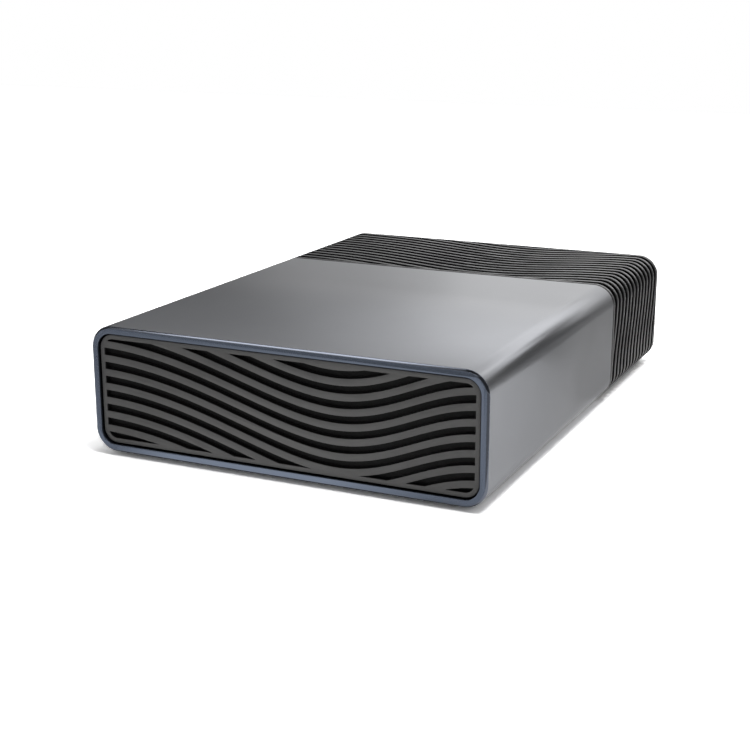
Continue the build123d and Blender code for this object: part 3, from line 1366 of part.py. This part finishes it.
def usb_c_receptacle():
    """Oval metal shell with its contact tongue, open to the rear."""
    rear = PANEL_REAR - USB_SETBACK
    front = rear - USB_LENGTH
    bottom = rear - USB_DEPTH
    width, height = USB_WIDTH - 2 * USB_WALL, USB_HEIGHT - 2 * USB_WALL
    outer = RectangleRounded(USB_WIDTH, USB_HEIGHT, USB_RADIUS)
    inner = RectangleRounded(width, height, USB_RADIUS - USB_WALL)
    shell = deepened(Pos(USB_X, 0) * outer, front, rear, USB_Z)
    shell = shell - deepened(Pos(USB_X, 0) * inner, bottom, rear + CUT_OVERRUN, USB_Z)
    blade = block(
        about(USB_X, USB_TONGUE_WIDTH),
        (bottom - JOINT_OVERLAP, bottom + USB_TONGUE_LENGTH),
        about(USB_Z, USB_TONGUE_THICKNESS),
    )
    return joined(shell, blade)


def dc_jack():
    """Round power inlet with its centre pin."""
    front, rear = SOCKET_REAR_Y + LOOSE_GAP, PANEL_FRONT - SLIDE_GAP
    body = block(about(JACK_X, JACK_WIDTH), (front, rear), (BOARD_TOP_Z, BOARD_TOP_Z + JACK_HEIGHT))
    mouth = PANEL_REAR - JACK_SETBACK
    bottom = mouth - JACK_BORE_DEPTH
    body = joined(body, lengthwise(JACK_X, JACK_Z, rear - JOINT_OVERLAP, mouth, JACK_COLLAR_RADIUS))
    body = body - lengthwise(JACK_X, JACK_Z, bottom, mouth + CUT_OVERRUN, JACK_BORE_RADIUS)
    pin_y = (bottom - JOINT_OVERLAP, mouth - JACK_PIN_SETBACK)
    return joined(body, lengthwise(JACK_X, JACK_Z, *pin_y, JACK_PIN_RADIUS))


def status_light():
    """Clear light guide from the board's lamp through the rear panel."""
    rear = PANEL_REAR + LOOSE_GAP / 2
    rod = lengthwise(LIGHT_X, LIGHT_Z, PANEL_REAR - LIGHT_LENGTH + LOOSE_GAP, rear, LIGHT_RADIUS)
    collar_y = (PANEL_FRONT - LIGHT_COLLAR_LENGTH, PANEL_FRONT)
    return joined(rod, lengthwise(LIGHT_X, LIGHT_Z, *collar_y, LIGHT_COLLAR_RADIUS))


def power_button():
    """Push button in the rear panel, with a stem and a flange that keeps it in."""
    rear = PANEL_REAR + BUTTON_PROUD
    cap = lengthwise(BUTTON_X, BUTTON_Z, FLANGE_FRONT_Y, rear, BUTTON_RADIUS)
    cap = fillet(cap.faces().sort_by(Axis.Y)[-1].edges(), BUTTON_EDGE)
    radius = BUTTON_RADIUS + BUTTON_FLANGE
    return joined(cap, lengthwise(BUTTON_X, BUTTON_Z, FLANGE_FRONT_Y, FLANGE_REAR_Y, radius))


def switch_plunger():
    """Plunger that the button pushes into the switch."""
    front = FLANGE_FRONT_Y - PLUNGER_LENGTH
    return lengthwise(BUTTON_X, BUTTON_Z, front, FLANGE_FRONT_Y, PLUNGER_RADIUS)


def power_switch():
    """Switch on the bridge board with a bore for its plunger."""
    body_rear = FLANGE_FRONT_Y - PLUNGER_LENGTH + PLUNGER_ENGAGED
    body = block(
        about(BUTTON_X, SWITCH_WIDTH),
        (body_rear - SWITCH_DEPTH, body_rear),
        (BOARD_TOP_Z, BOARD_TOP_Z + SWITCH_HEIGHT),
    )
    bottom = body_rear - PLUNGER_ENGAGED - BUTTON_TRAVEL - LOOSE_GAP
    return body - lengthwise(BUTTON_X, BUTTON_Z, bottom, body_rear, PLUNGER_RADIUS + PLUNGER_CLEARANCE)


PIECES = [
    sleeve, front_bezel, front_grille, dust_filter, rear_shroud, rear_panel, panel_screws,
    front_feet, rear_feet, shroud_screws,
    drive_tray, grommets, drive_screws,
    drive_base, cover_gasket, drive_cover, cover_screws,
    drive_board, drive_chips, board_foam, drive_board_screws, sata_plug,
    spindle_sleeve, motor_stator, motor_windings, spindle_hub, rotor_magnet,
    platters, platter_spacers, platter_clamp, clamp_screws,
    pivot_post, pivot_bearing, arm_block, voice_coil, head_suspensions, head_sliders,
    lower_yoke, upper_yoke, coil_magnets, yoke_posts, load_ramp, flex_bracket, recirculation_filter,
    sata_socket, bridge_board, bridge_chips, board_standoffs, board_screws,
    usb_c_receptacle, dc_jack, status_light, power_button, switch_plunger, power_switch,
]


def place_in_frame(shape):
    """Move a shape so that the origin lies under the middle of the case."""
    return Pos(0, -CASE_DEPTH / 2, 0) * shape


os.makedirs("parts", exist_ok=True)
for piece in PIECES:
    export_step(place_in_frame(piece()), f"parts/{piece.__name__}.step")
print("head arm swing in degrees", round(SWING_RANGE, 2))
print("head arm pivot", PIVOT_X, round(PIVOT_Y - CASE_DEPTH / 2, 3))
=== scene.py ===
import json
import math

import bmesh
import bpy
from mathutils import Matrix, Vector


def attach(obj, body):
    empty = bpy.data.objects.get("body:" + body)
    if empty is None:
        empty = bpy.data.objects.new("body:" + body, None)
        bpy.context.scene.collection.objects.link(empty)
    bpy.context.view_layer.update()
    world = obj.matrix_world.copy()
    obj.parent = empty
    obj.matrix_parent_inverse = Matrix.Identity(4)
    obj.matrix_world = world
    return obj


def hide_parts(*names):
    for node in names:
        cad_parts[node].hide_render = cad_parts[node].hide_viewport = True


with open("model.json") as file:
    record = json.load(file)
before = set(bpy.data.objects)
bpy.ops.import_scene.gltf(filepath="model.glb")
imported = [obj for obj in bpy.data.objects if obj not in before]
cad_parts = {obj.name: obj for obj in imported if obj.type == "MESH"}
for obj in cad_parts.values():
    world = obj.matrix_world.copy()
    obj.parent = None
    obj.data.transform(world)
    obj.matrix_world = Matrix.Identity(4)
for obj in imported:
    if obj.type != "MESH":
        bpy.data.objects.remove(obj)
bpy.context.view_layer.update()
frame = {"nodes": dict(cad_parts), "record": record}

MM = 0.001

# The case, in millimetres
CASE_FRONT = -88.0  # along Y
CASE_MIDDLE = 20.55  # along Z
CASE_HALF_WIDTH = 63.0
CASE_HALF_HEIGHT = 19.35
CORNER_RADIUS = 7.0
GROOVES_END = 86.9  # along Y, where the shroud's plain rear rim begins


# Shader nodes

def node(tree, kind, **settings):
    """A shader node with its properties or unlinked sockets set."""
    made = tree.nodes.new(kind)
    for name, value in settings.items():
        if hasattr(made, name):
            setattr(made, name, value)
        else:
            made.inputs[name.replace("_", " ")].default_value = value
    return made


def maths(tree, operation, first, second):
    """The result of an operation on two values, each a number or another node's output."""
    made = node(tree, "ShaderNodeMath", operation=operation)
    for socket, value in zip(made.inputs, (first, second)):
        if isinstance(value, float):
            socket.default_value = value
        else:
            tree.links.new(value, socket)
    return made.outputs["Value"]


def spots(tree):
    """The places of a surface's points in their piece's own frame, in metres."""
    return tree.nodes.new("ShaderNodeTexCoord").outputs["Object"]


def along(tree, place, axis):
    """How far places lie along an axis."""
    parts = tree.nodes.new("ShaderNodeSeparateXYZ")
    tree.links.new(place, parts.inputs[0])
    return parts.outputs[axis]


def towards(tree, share, end):
    """Go to an end value as a share goes to 1. Gives the start value's socket and the result."""
    mixed = node(tree, "ShaderNodeMix", data_type="RGBA" if isinstance(end, tuple) else "FLOAT")
    first, second = (
        next(one for one in mixed.inputs if one.name == letter and one.enabled) for letter in "AB"
    )
    second.default_value = end
    tree.links.new(share, mixed.inputs["Factor"])
    return first, next(one for one in mixed.outputs if one.enabled)


# Finishes

NOISE_LOW, NOISE_HIGH = 0.3, 0.7  # most of a noise lies between these
RELIEF_STRENGTH = 0.6


def grain(tree, place, size, detail, stretch):
    """Noise with grains of this size in millimetres, drawn out along an axis by stretch."""
    mapping = node(tree, "ShaderNodeMapping", Scale=[1 / share for share in stretch])
    tree.links.new(place, mapping.inputs["Vector"])
    noise = node(tree, "ShaderNodeTexNoise", Scale=1 / (size * MM), Detail=detail, Roughness=0.55)
    tree.links.new(mapping.outputs["Vector"], noise.inputs["Vector"])
    return noise.outputs["Fac"]


def spread(tree, source, low, high):
    """Map a noise, whose values crowd round a half, to a range of its own."""
    ranged = node(tree, "ShaderNodeMapRange")
    ranged.inputs["From Min"].default_value = NOISE_LOW
    ranged.inputs["From Max"].default_value = NOISE_HIGH
    ranged.inputs["To Min"].default_value = low
    ranged.inputs["To Max"].default_value = high
    tree.links.new(source, ranged.inputs["Value"])
    return ranged.outputs["Result"]


def tinted(tree, source, colour, drift):
    """Colour that drifts a little darker and lighter with a noise."""
    ramp = tree.nodes.new("ShaderNodeValToRGB")
    stops = ((NOISE_LOW, 1 - drift), (NOISE_HIGH, 1 + drift))
    for mark, (position, share) in zip(ramp.color_ramp.elements, stops):
        mark.position = position
        mark.color = [min(channel * share, 1.0) for channel in colour] + [1.0]
    tree.links.new(source, ramp.inputs["Fac"])
    return ramp.outputs["Color"]


def finish(
    name, colour, metallic, rough, grain_size, relief, patch_size, drift,
    stretch=(1.0, 1.0, 1.0), **sockets,
):
    """Finish whose fine grains stand in relief and vary its gloss, with wide patches of colour.

    Grains, relief and patches are in millimetres. Rough is the range of roughness, drift is how
    much darker and lighter the patches are, and sockets are the shader's own.
    """
    material = bpy.data.materials.new(name)
    material.use_nodes = True
    tree = material.node_tree
    shader = tree.nodes["Principled BSDF"]
    shader.inputs["Metallic"].default_value = metallic
    for socket, value in sockets.items():
        shader.inputs[socket.replace("_", " ")].default_value = value
    place = spots(tree)
    patches = grain(tree, place, patch_size, detail=3.0, stretch=stretch)
    grains = grain(tree, place, grain_size, detail=2.0, stretch=stretch)
    tree.links.new(tinted(tree, patches, colour, drift), shader.inputs["Base Color"])
    tree.links.new(spread(tree, grains, *rough), shader.inputs["Roughness"])
    bump = node(tree, "ShaderNodeBump", Strength=RELIEF_STRENGTH, Distance=relief * MM)
    tree.links.new(grains, bump.inputs["Height"])
    tree.links.new(bump.outputs["Normal"], shader.inputs["Normal"])
    return material


def outline_depth(tree, place):
    """Depth below the case's rounded outline as seen from the front."""
    flat_half_width = (CASE_HALF_WIDTH - CORNER_RADIUS) * MM
    flat_half_height = (CASE_HALF_HEIGHT - CORNER_RADIUS) * MM
    for operation, amount in (
        ("SUBTRACT", (0.0, 0.0, CASE_MIDDLE * MM)),
        ("ABSOLUTE", (0.0, 0.0, 0.0)),
        ("SUBTRACT", (flat_half_width, 0.0, flat_half_height)),
        ("MULTIPLY", (1.0, 0.0, 1.0)),
        ("MAXIMUM", (0.0, 0.0, 0.0)),
    ):
        step = node(tree, "ShaderNodeVectorMath", operation=operation)
        tree.links.new(place, step.inputs[0])
        step.inputs[1].default_value = amount
        place = step.outputs["Vector"]
    reach = node(tree, "ShaderNodeVectorMath", operation="LENGTH")
    tree.links.new(place, reach.inputs[0])
    return maths(tree, "SUBTRACT", CORNER_RADIUS * MM, reach.outputs["Value"])


def front_depth(tree, place):
    """Distance behind the plane of the case's front."""
    return maths(tree, "SUBTRACT", along(tree, place, "Y"), CASE_FRONT * MM)


def top_depth(tree, place):
    """Depth below the plane of the case's top."""
    top = (CASE_MIDDLE + CASE_HALF_HEIGHT) * MM
    return maths(tree, "SUBTRACT", top, along(tree, place, "Z"))


def groove_depth(tree, place):
    """Depth below the outline, except on the plain rim behind the last groove."""
    before_rim = maths(tree, "SUBTRACT", GROOVES_END * MM, along(tree, place, "Y"))
    return maths(tree, "MINIMUM", outline_depth(tree, place), before_rim)


def graded(material, measure, start, end, **sockets):
    """Let sockets drift to other values as a depth goes from start to end, in millimetres."""
    tree = material.node_tree
    shader = tree.nodes["Principled BSDF"]
    share = tree.nodes.new("ShaderNodeMapRange")
    share.inputs["From Min"].default_value = start * MM
    share.inputs["From Max"].default_value = end * MM
    tree.links.new(measure(tree, spots(tree)), share.inputs["Value"])
    for socket, value in sockets.items():
        target = shader.inputs[socket.replace("_", " ")]
        before, result = towards(tree, share.outputs["Result"], value)
        if target.is_linked:
            tree.links.new(target.links[0].from_socket, before)
        else:
            before.default_value = target.default_value
        tree.links.new(result, target)


LOOKS = {
    "anodised_sleeve": dict(
        colour=(0.290, 0.295, 0.310), metallic=1.0, rough=(0.28, 0.36),
        grain_size=0.12, relief=0.004, patch_size=30.0, drift=0.02,
        Specular_Tint=(0.50, 0.50, 0.50, 1.0),
    ),
    "anodised_ring": dict(
        colour=(0.097, 0.114, 0.149), metallic=1.0, rough=(0.21, 0.26),
        grain_size=0.10, relief=0.001, patch_size=20.0, drift=0.02,
    ),
    "grille_black": dict(
        colour=(0.076, 0.075, 0.074), metallic=0.0, rough=(0.48, 0.58),
        grain_size=0.18, relief=0.010, patch_size=8.0, drift=0.06,
    ),
    "filter_black": dict(
        colour=(0.004, 0.004, 0.004), metallic=0.0, rough=(0.85, 0.95),
        grain_size=0.4, relief=0.05, patch_size=3.0, drift=0.3,
    ),
    "shroud_black": dict(
        colour=(0.014, 0.014, 0.015), metallic=0.0, rough=(0.34, 0.42),
        grain_size=0.18, relief=0.010, patch_size=8.0, drift=0.06,
        # Turned down as painted shade on the shroud's top; the grading after the finishes raises
        # it on the sides.
        Specular_IOR_Level=0.07,
    ),
    "panel_black": dict(
        colour=(0.030, 0.030, 0.032), metallic=0.0, rough=(0.50, 0.62),
        grain_size=0.25, relief=0.020, patch_size=8.0, drift=0.06,
    ),
    "rubber_black": dict(
        colour=(0.022, 0.022, 0.022), metallic=0.0, rough=(0.70, 0.85),
        grain_size=0.4, relief=0.020, patch_size=3.0, drift=0.12,
    ),
    "screw_black": dict(
        colour=(0.045, 0.045, 0.047), metallic=1.0, rough=(0.32, 0.45),
        grain_size=0.1, relief=0.004, patch_size=1.5, drift=0.15,
    ),
    "screw_steel": dict(
        colour=(0.55, 0.55, 0.55), metallic=1.0, rough=(0.22, 0.36),
        grain_size=0.1, relief=0.004, patch_size=1.5, drift=0.08,
    ),
    "tray_steel": dict(
        colour=(0.52, 0.53, 0.55), metallic=1.0, rough=(0.25, 0.45),
        grain_size=2.5, relief=0.002, patch_size=9.0, drift=0.10,
    ),
    "disk_casting": dict(
        colour=(0.48, 0.48, 0.50), metallic=1.0, rough=(0.45, 0.60),
        grain_size=0.35, relief=0.03, patch_size=10.0, drift=0.06,
    ),
    "disk_cover": dict(
        colour=(0.60, 0.60, 0.62), metallic=1.0, rough=(0.24, 0.34),
        grain_size=0.15, relief=0.002, patch_size=14.0, drift=0.03,
        stretch=(1.0, 14.0, 1.0),
    ),
    "gasket_black": dict(
        colour=(0.03, 0.03, 0.03), metallic=0.0, rough=(0.6, 0.8),
        grain_size=0.3, relief=0.010, patch_size=3.0, drift=0.1,
    ),
    "board_green": dict(
        colour=(0.010, 0.075, 0.030), metallic=0.0, rough=(0.28, 0.38),
        grain_size=0.5, relief=0.010, patch_size=2.0, drift=0.25,
    ),
    "chip_black": dict(
        colour=(0.022, 0.022, 0.023), metallic=0.0, rough=(0.45, 0.6),
        grain_size=0.12, relief=0.006, patch_size=2.0, drift=0.1,
    ),
    "foam_grey": dict(
        colour=(0.10, 0.10, 0.11), metallic=0.0, rough=(0.9, 1.0),
        grain_size=0.5, relief=0.15, patch_size=2.0, drift=0.25,
    ),
    "connector_black": dict(
        colour=(0.022, 0.022, 0.024), metallic=0.0, rough=(0.35, 0.5),
        grain_size=0.2, relief=0.006, patch_size=4.0, drift=0.08,
    ),
    "bearing_steel": dict(
        colour=(0.60, 0.60, 0.61), metallic=1.0, rough=(0.12, 0.22),
        grain_size=0.1, relief=0.001, patch_size=4.0, drift=0.04,
    ),
    "stator_steel": dict(
        colour=(0.33, 0.33, 0.34), metallic=1.0, rough=(0.35, 0.5),
        grain_size=0.3, relief=0.020, patch_size=3.0, drift=0.1,
        stretch=(8.0, 8.0, 1.0),
    ),
    "copper": dict(
        colour=(0.62, 0.25, 0.10), metallic=1.0, rough=(0.25, 0.4),
        grain_size=0.2, relief=0.03, patch_size=2.0, drift=0.12,
    ),
    "magnet_nickel": dict(
        colour=(0.58, 0.55, 0.50), metallic=1.0, rough=(0.18, 0.3),
        grain_size=0.3, relief=0.002, patch_size=6.0, drift=0.05,
    ),
    "platter_mirror": dict(
        colour=(0.80, 0.81, 0.83), metallic=1.0, rough=(0.02, 0.05),
        grain_size=2.0, relief=0.0002, patch_size=20.0, drift=0.01,
    ),
    "arm_aluminium": dict(
        colour=(0.66, 0.66, 0.68), metallic=1.0, rough=(0.25, 0.38),
        grain_size=0.15, relief=0.003, patch_size=5.0, drift=0.04,
        stretch=(6.0, 1.0, 1.0),
    ),
    "ramp_plastic": dict(
        colour=(0.68, 0.62, 0.48), metallic=0.0, rough=(0.35, 0.5),
        grain_size=0.3, relief=0.006, patch_size=4.0, drift=0.05,
    ),
    "filter_white": dict(
        colour=(0.75, 0.75, 0.72), metallic=0.0, rough=(0.9, 1.0),
        grain_size=0.3, relief=0.08, patch_size=1.5, drift=0.1,
    ),
    "port_steel": dict(
        colour=(0.55, 0.55, 0.57), metallic=1.0, rough=(0.2, 0.32),
        grain_size=0.1, relief=0.002, patch_size=3.0, drift=0.06,
    ),
    "light_guide": dict(
        colour=(0.85, 0.88, 0.90), metallic=0.0, rough=(0.08, 0.16),
        grain_size=0.4, relief=0.002, patch_size=3.0, drift=0.02,
        IOR=1.49, Transmission_Weight=0.6,
    ),
    "button_black": dict(
        colour=(0.040, 0.040, 0.042), metallic=0.0, rough=(0.30, 0.40),
        grain_size=0.15, relief=0.006, patch_size=3.0, drift=0.06,
    ),
    "brass_post": dict(
        colour=(0.62, 0.42, 0.14), metallic=1.0, rough=(0.2, 0.35),
        grain_size=0.2, relief=0.003, patch_size=3.0, drift=0.08,
    ),
}
FINISHES = {name: finish(name, **look) for name, look in LOOKS.items()}

# The ring's chamfer is lighter and more polished than its face.
graded(
    FINISHES["anodised_ring"], outline_depth, start=0.65, end=0.5,
    Base_Color=(0.138, 0.150, 0.180, 1.0), Roughness=0.13,
)
# Painted shade: behind its face, in the slots and round its edge, the grille is painted near
# black and its reflections are turned down, standing in for the shade in these recesses.
graded(
    FINISHES["grille_black"], front_depth, start=1.0, end=1.3,
    Base_Color=(0.012, 0.012, 0.012, 1.0), Specular_IOR_Level=0.1,
)
# Painted shade: the shroud's top has its reflections turned down, so that it renders darker than
# its sides.
graded(FINISHES["shroud_black"], top_depth, start=0.2, end=1.6, Specular_IOR_Level=0.31)
# Painted shade: the shroud is darkest in its grooves, painted near black with almost no
# reflection where they lie in shade.
graded(
    FINISHES["shroud_black"], groove_depth, start=0.02, end=0.20,
    Base_Color=(0.003, 0.003, 0.003, 1.0), Specular_IOR_Level=0.01,
)


def dress(piece, slot):
    """Give every face of a piece the finish of one of the record's slots."""
    piece.data.materials.clear()
    piece.data.materials.append(FINISHES[slot])
    piece.data.polygons.foreach_set("material_index", [0] * len(piece.data.polygons))


SLOT_OF = {row["node"]: row["material_slot"] for row in frame["record"]["subparts"]}
for name, piece in frame["nodes"].items():
    dress(piece, SLOT_OF[name])


# Softened copies of the outer pieces

MERGE_DISTANCE = 0.0005  # millimetres
FLAT_ANGLE = 0.2  # degrees; faces that turn less than this are one flat face
SHARP_ANGLE = 32.0  # degrees; edges that turn more than this are rounded


def merged_copy(name):
    """A copy of a solid's mesh as one skin, its flat faces joined."""
    made = bpy.data.objects.new(name + "_soft", frame["nodes"][name].data.copy())
    bpy.context.scene.collection.objects.link(made)
    shape = bmesh.new()
    shape.from_mesh(made.data)
    bmesh.ops.remove_doubles(shape, verts=shape.verts, dist=MERGE_DISTANCE * MM)
    bmesh.ops.dissolve_limit(
        shape, angle_limit=math.radians(FLAT_ANGLE), verts=shape.verts, edges=shape.edges,
        delimit=set(),
    )
    shape.to_mesh(made.data)
    shape.free()
    return made


def soften(name, body, radius, segments):
    """Show a solid with its sharp edges rounded, by a radius in millimetres."""
    made = merged_copy(name)
    made.data.shade_smooth()
    bevel = made.modifiers.new("edges", "BEVEL")
    bevel.width = radius * MM
    bevel.segments = segments
    bevel.limit_method = "ANGLE"
    bevel.angle_limit = math.radians(SHARP_ANGLE)
    bevel.harden_normals = True
    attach(made, body)
    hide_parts(name)
    dress(made, SLOT_OF[name])


soften("sleeve", "case", radius=0.15, segments=2)
soften("front_bezel", "case", radius=0.08, segments=2)
soften("front_grille", "case", radius=0.08, segments=2)
soften("rear_shroud", "case", radius=0.15, segments=2)
soften("rear_panel", "case", radius=0.15, segments=2)
soften("front_feet", "case", radius=0.25, segments=3)
soften("rear_feet", "case", radius=0.25, segments=3)
soften("dc_jack", "case", radius=0.08, segments=2)
soften("usb_c_receptacle", "case", radius=0.05, segments=2)
soften("power_button", "button", radius=0.15, segments=3)


# Studio, in metres

FLOOR_HALF_SIDE = 1.1
FLOOR_DROP = 0.01 * MM  # keeps the floor out of the plane of the feet's soles
FLOOR_LIGHTING = (0.8, 0.8, 0.8, 1.0)  # its tone for the light it throws back
FLOOR_MIRRORED = (1.04, 1.04, 1.04, 1.0)  # its tone in reflections and through clear pieces
FLOOR_SEEN = (1.64, 1.64, 1.64, 1.0)  # its tone to the camera
AMBIENT = 0.38
WHITE = (1.0, 1.0, 1.0, 1.0)


def studio_floor():
    """Pale floor that looks white and still takes the object's shadow."""
    shape = bmesh.new()
    bmesh.ops.create_grid(shape, x_segments=1, y_segments=1, size=FLOOR_HALF_SIDE)
    bmesh.ops.translate(shape, vec=(0.0, 0.0, -FLOOR_DROP), verts=shape.verts)
    mesh = bpy.data.meshes.new("studio_floor")
    shape.to_mesh(mesh)
    shape.free()
    floor = bpy.data.objects.new("studio_floor", mesh)
    bpy.context.scene.collection.objects.link(floor)
    material = bpy.data.materials.new("pale_floor")
    material.use_nodes = True
    tree = material.node_tree
    tree.nodes.clear()
    ray = tree.nodes.new("ShaderNodeLightPath").outputs
    indirect = maths(tree, "MAXIMUM", ray["Is Glossy Ray"], ray["Is Transmission Ray"])
    lighting, mirrored = towards(tree, indirect, FLOOR_MIRRORED)
    lighting.default_value = FLOOR_LIGHTING
    unseen, tone = towards(tree, ray["Is Camera Ray"], FLOOR_SEEN)
    tree.links.new(mirrored, unseen)
    paint = tree.nodes.new("ShaderNodeBsdfDiffuse")
    tree.links.new(tone, paint.inputs["Color"])
    out = tree.nodes.new("ShaderNodeOutputMaterial")
    tree.links.new(paint.outputs[0], out.inputs["Surface"])
    floor.data.materials.append(material)


def studio_world():
    """Even soft light, and a white background for what is seen or mirrored."""
    world = bpy.data.worlds.new("studio")
    bpy.context.scene.world = world
    world.use_nodes = True
    tree = world.node_tree
    tree.nodes.clear()
    ray = tree.nodes.new("ShaderNodeLightPath").outputs
    direct = maths(tree, "MAXIMUM", ray["Is Camera Ray"], ray["Is Glossy Ray"])
    seen = maths(tree, "MAXIMUM", direct, ray["Is Transmission Ray"])
    ambient = node(tree, "ShaderNodeBackground", Color=WHITE, Strength=AMBIENT)
    background = node(tree, "ShaderNodeBackground", Color=WHITE, Strength=1.0)
    choice = tree.nodes.new("ShaderNodeMixShader")
    tree.links.new(seen, choice.inputs["Fac"])
    tree.links.new(ambient.outputs[0], choice.inputs[1])
    tree.links.new(background.outputs[0], choice.inputs[2])
    out = tree.nodes.new("ShaderNodeOutputWorld")
    tree.links.new(choice.outputs[0], out.inputs["Surface"])


def lamp(name, place, target, size, power, mirrored):
    """Rectangular soft lamp that points at a target, its power in watts, mirrored or not."""
    data = bpy.data.lights.new(name, "AREA")
    data.shape = "RECTANGLE"
    data.size, data.size_y = size
    data.energy = power
    made = bpy.data.objects.new(name, data)
    bpy.context.scene.collection.objects.link(made)
    made.location = place
    made.rotation_euler = (Vector(target) - Vector(place)).to_track_quat("-Z", "Y").to_euler()
    made.visible_glossy = mirrored


def faded(tree, stops):
    """Tones that go from one to the next along X. Gives the colour and the brightest tone."""
    first, last = stops[0][0], stops[-1][0]
    share = tree.nodes.new("ShaderNodeMapRange")
    share.inputs["From Min"].default_value = first
    share.inputs["From Max"].default_value = last
    tree.links.new(along(tree, spots(tree), "X"), share.inputs["Value"])
    ramp = tree.nodes.new("ShaderNodeValToRGB")
    tree.links.new(share.outputs["Result"], ramp.inputs["Fac"])
    brightest = max(tone for _, tone in stops)
    marks = ramp.color_ramp.elements
    while len(marks) < len(stops):
        marks.new(0.5)
    # The marks are placed before they are coloured, because a mark that moves can change rank.
    for mark, (x, _) in zip(marks, stops):
        mark.position = (x - first) / (last - first)
    for mark, (_, tone) in zip(marks, stops):
        mark.color = [tone / brightest] * 3 + [1.0]
    return ramp.outputs["Color"], brightest


def card(name, tones, low, high):
    """Flat card that only reflections show, upright or level between two opposite corners.

    It glows in one tone, or in tones set along X, and lights and shades nothing.
    """
    (x0, y0, z0), (x1, y1, z1) = low, high
    if z0 == z1:
        corners = (low, (x1, y0, z0), high, (x0, y1, z0))
    else:
        corners = (low, (x1, y1, z0), high, (x0, y0, z1))
    shape = bmesh.new()
    shape.faces.new([shape.verts.new(corner) for corner in corners])
    mesh = bpy.data.meshes.new(name)
    shape.to_mesh(mesh)
    shape.free()
    made = bpy.data.objects.new(name, mesh)
    bpy.context.scene.collection.objects.link(made)
    material = bpy.data.materials.new(name)
    material.use_nodes = True
    tree = material.node_tree
    tree.nodes.clear()
    glow = tree.nodes.new("ShaderNodeEmission")
    if isinstance(tones, float):
        glow.inputs["Color"].default_value = (tones, tones, tones, 1.0)
    else:
        colour, brightest = faded(tree, tones)
        tree.links.new(colour, glow.inputs["Color"])
        glow.inputs["Strength"].default_value = brightest
    out = tree.nodes.new("ShaderNodeOutputMaterial")
    tree.links.new(glow.outputs[0], out.inputs["Surface"])
    mesh.materials.append(material)
    made.visible_camera = False
    made.visible_diffuse = False
    made.visible_shadow = False


studio_floor()
studio_world()

for name, place, target, size, power, mirrored in (
    ("softbox_behind", (0.0, 1.6, 0.8), (0.0, 0.0, 0.1), (2.4, 1.6), 17.5, True),
    ("softbox_above", (0.022, -0.056, 1.25), (0.0, -0.05, 0.0), (0.104, 0.104), 2.4, False),
    ("softbox_right", (0.38, -0.13, 1.25), (0.0, -0.05, 0.0), (0.42, 0.34), 9.0, False),
):
    lamp(name, place, target, size, power, mirrored)

# Each card has one tone or a row of (X, tone) stops, and two opposite corners.
CARDS = {
    "card_left": (
        ((-5.0, 0.41), (-0.82, 0.42), (-0.73, 0.86), (-0.60, 1.20), (-0.52, 1.42)),
        (-5.0, 1.2, 0.0), (-0.52, 1.2, 2.2),
    ),
    "card_left_low": (((-0.62, 0.95), (-0.46, 1.40)), (-0.62, 1.19, 0.0), (-0.46, 1.19, 0.26)),
    "card_far_left": (0.14, (-1.5, -1.2, 0.0), (-1.5, 1.2, 2.6)),
    "card_over_left": (3.9, (-0.98, -0.70, 1.30), (-0.48, -0.22, 1.30)),
    "card_over_front": (0.05, (-0.44, -0.90, 1.30), (0.70, -0.20, 1.30)),
    "card_before_ring": (
        ((-0.058, 1.0), (-0.038, 1.8), (0.012, 1.8), (0.045, 1.0)),
        (-0.058, -0.112, 0.0004), (0.045, -0.0888, 0.0004),
    ),
    "card_beside": (1.18, (0.060, -0.085, 0.0003), (0.078, 0.028, 0.0003)),
    "card_behind_high": (3.0, (-0.30, 1.15, 0.42), (0.16, 1.15, 0.75)),
    "card_before_case": (
        ((-0.20, 0.80), (-0.08, 0.95), (0.01, 1.35), (0.05, 1.2), (0.12, 1.2)),
        (-0.20, -0.32, 0.0004), (0.12, -0.112, 0.0004),
    ),
    "card_right_high": (0.06, (0.26, 1.2, 0.18), (3.0, 1.2, 0.7)),
    "card_right_low": (0.25, (0.26, 1.2, 0.0), (3.0, 1.2, 0.18)),
    "card_rear": (0.40, (0.09, 0.07, 0.001), (1.0, 1.2, 0.001)),
    "card_front": (
        ((-1.5, 0.05), (-0.7, 0.05), (0.0, 0.4), (1.5, 0.4)),
        (-1.5, -0.9, 0.0), (1.5, -0.9, 0.6),
    ),
    "card_side": (0.10, (0.9, -1.5, 0.0), (0.9, 0.1, 1.6)),
    "card_corner": (0.45, (0.066, -0.3, 0.001), (0.5, -0.095, 0.001)),
}
for name, (tones, low, high) in CARDS.items():
    card(name, tones, low, high)


# Camera, solved from the photograph's straight edges

CAMERA_PLACE = (0.18687, -0.42485, 0.13898)
CAMERA_TURN = 24.97  # degrees
CAMERA_PITCH = 15.61  # degrees
CAMERA_LENS = 68.51  # millimetres
SENSOR_WIDTH = 36.0  # millimetres
CAMERA_RISE = 0.5 / 750  # half a pixel, as a share of the picture's side

lens = bpy.data.cameras.new("camera")
lens.lens = CAMERA_LENS
lens.sensor_width = SENSOR_WIDTH
lens.shift_y = CAMERA_RISE
camera = bpy.data.objects.new("camera", lens)
bpy.context.scene.collection.objects.link(camera)
camera.location = CAMERA_PLACE
camera.rotation_euler = (math.radians(90 - CAMERA_PITCH), 0.0, math.radians(CAMERA_TURN))
bpy.context.scene.camera = camera
bpy.context.scene.view_settings.view_transform = "Standard"
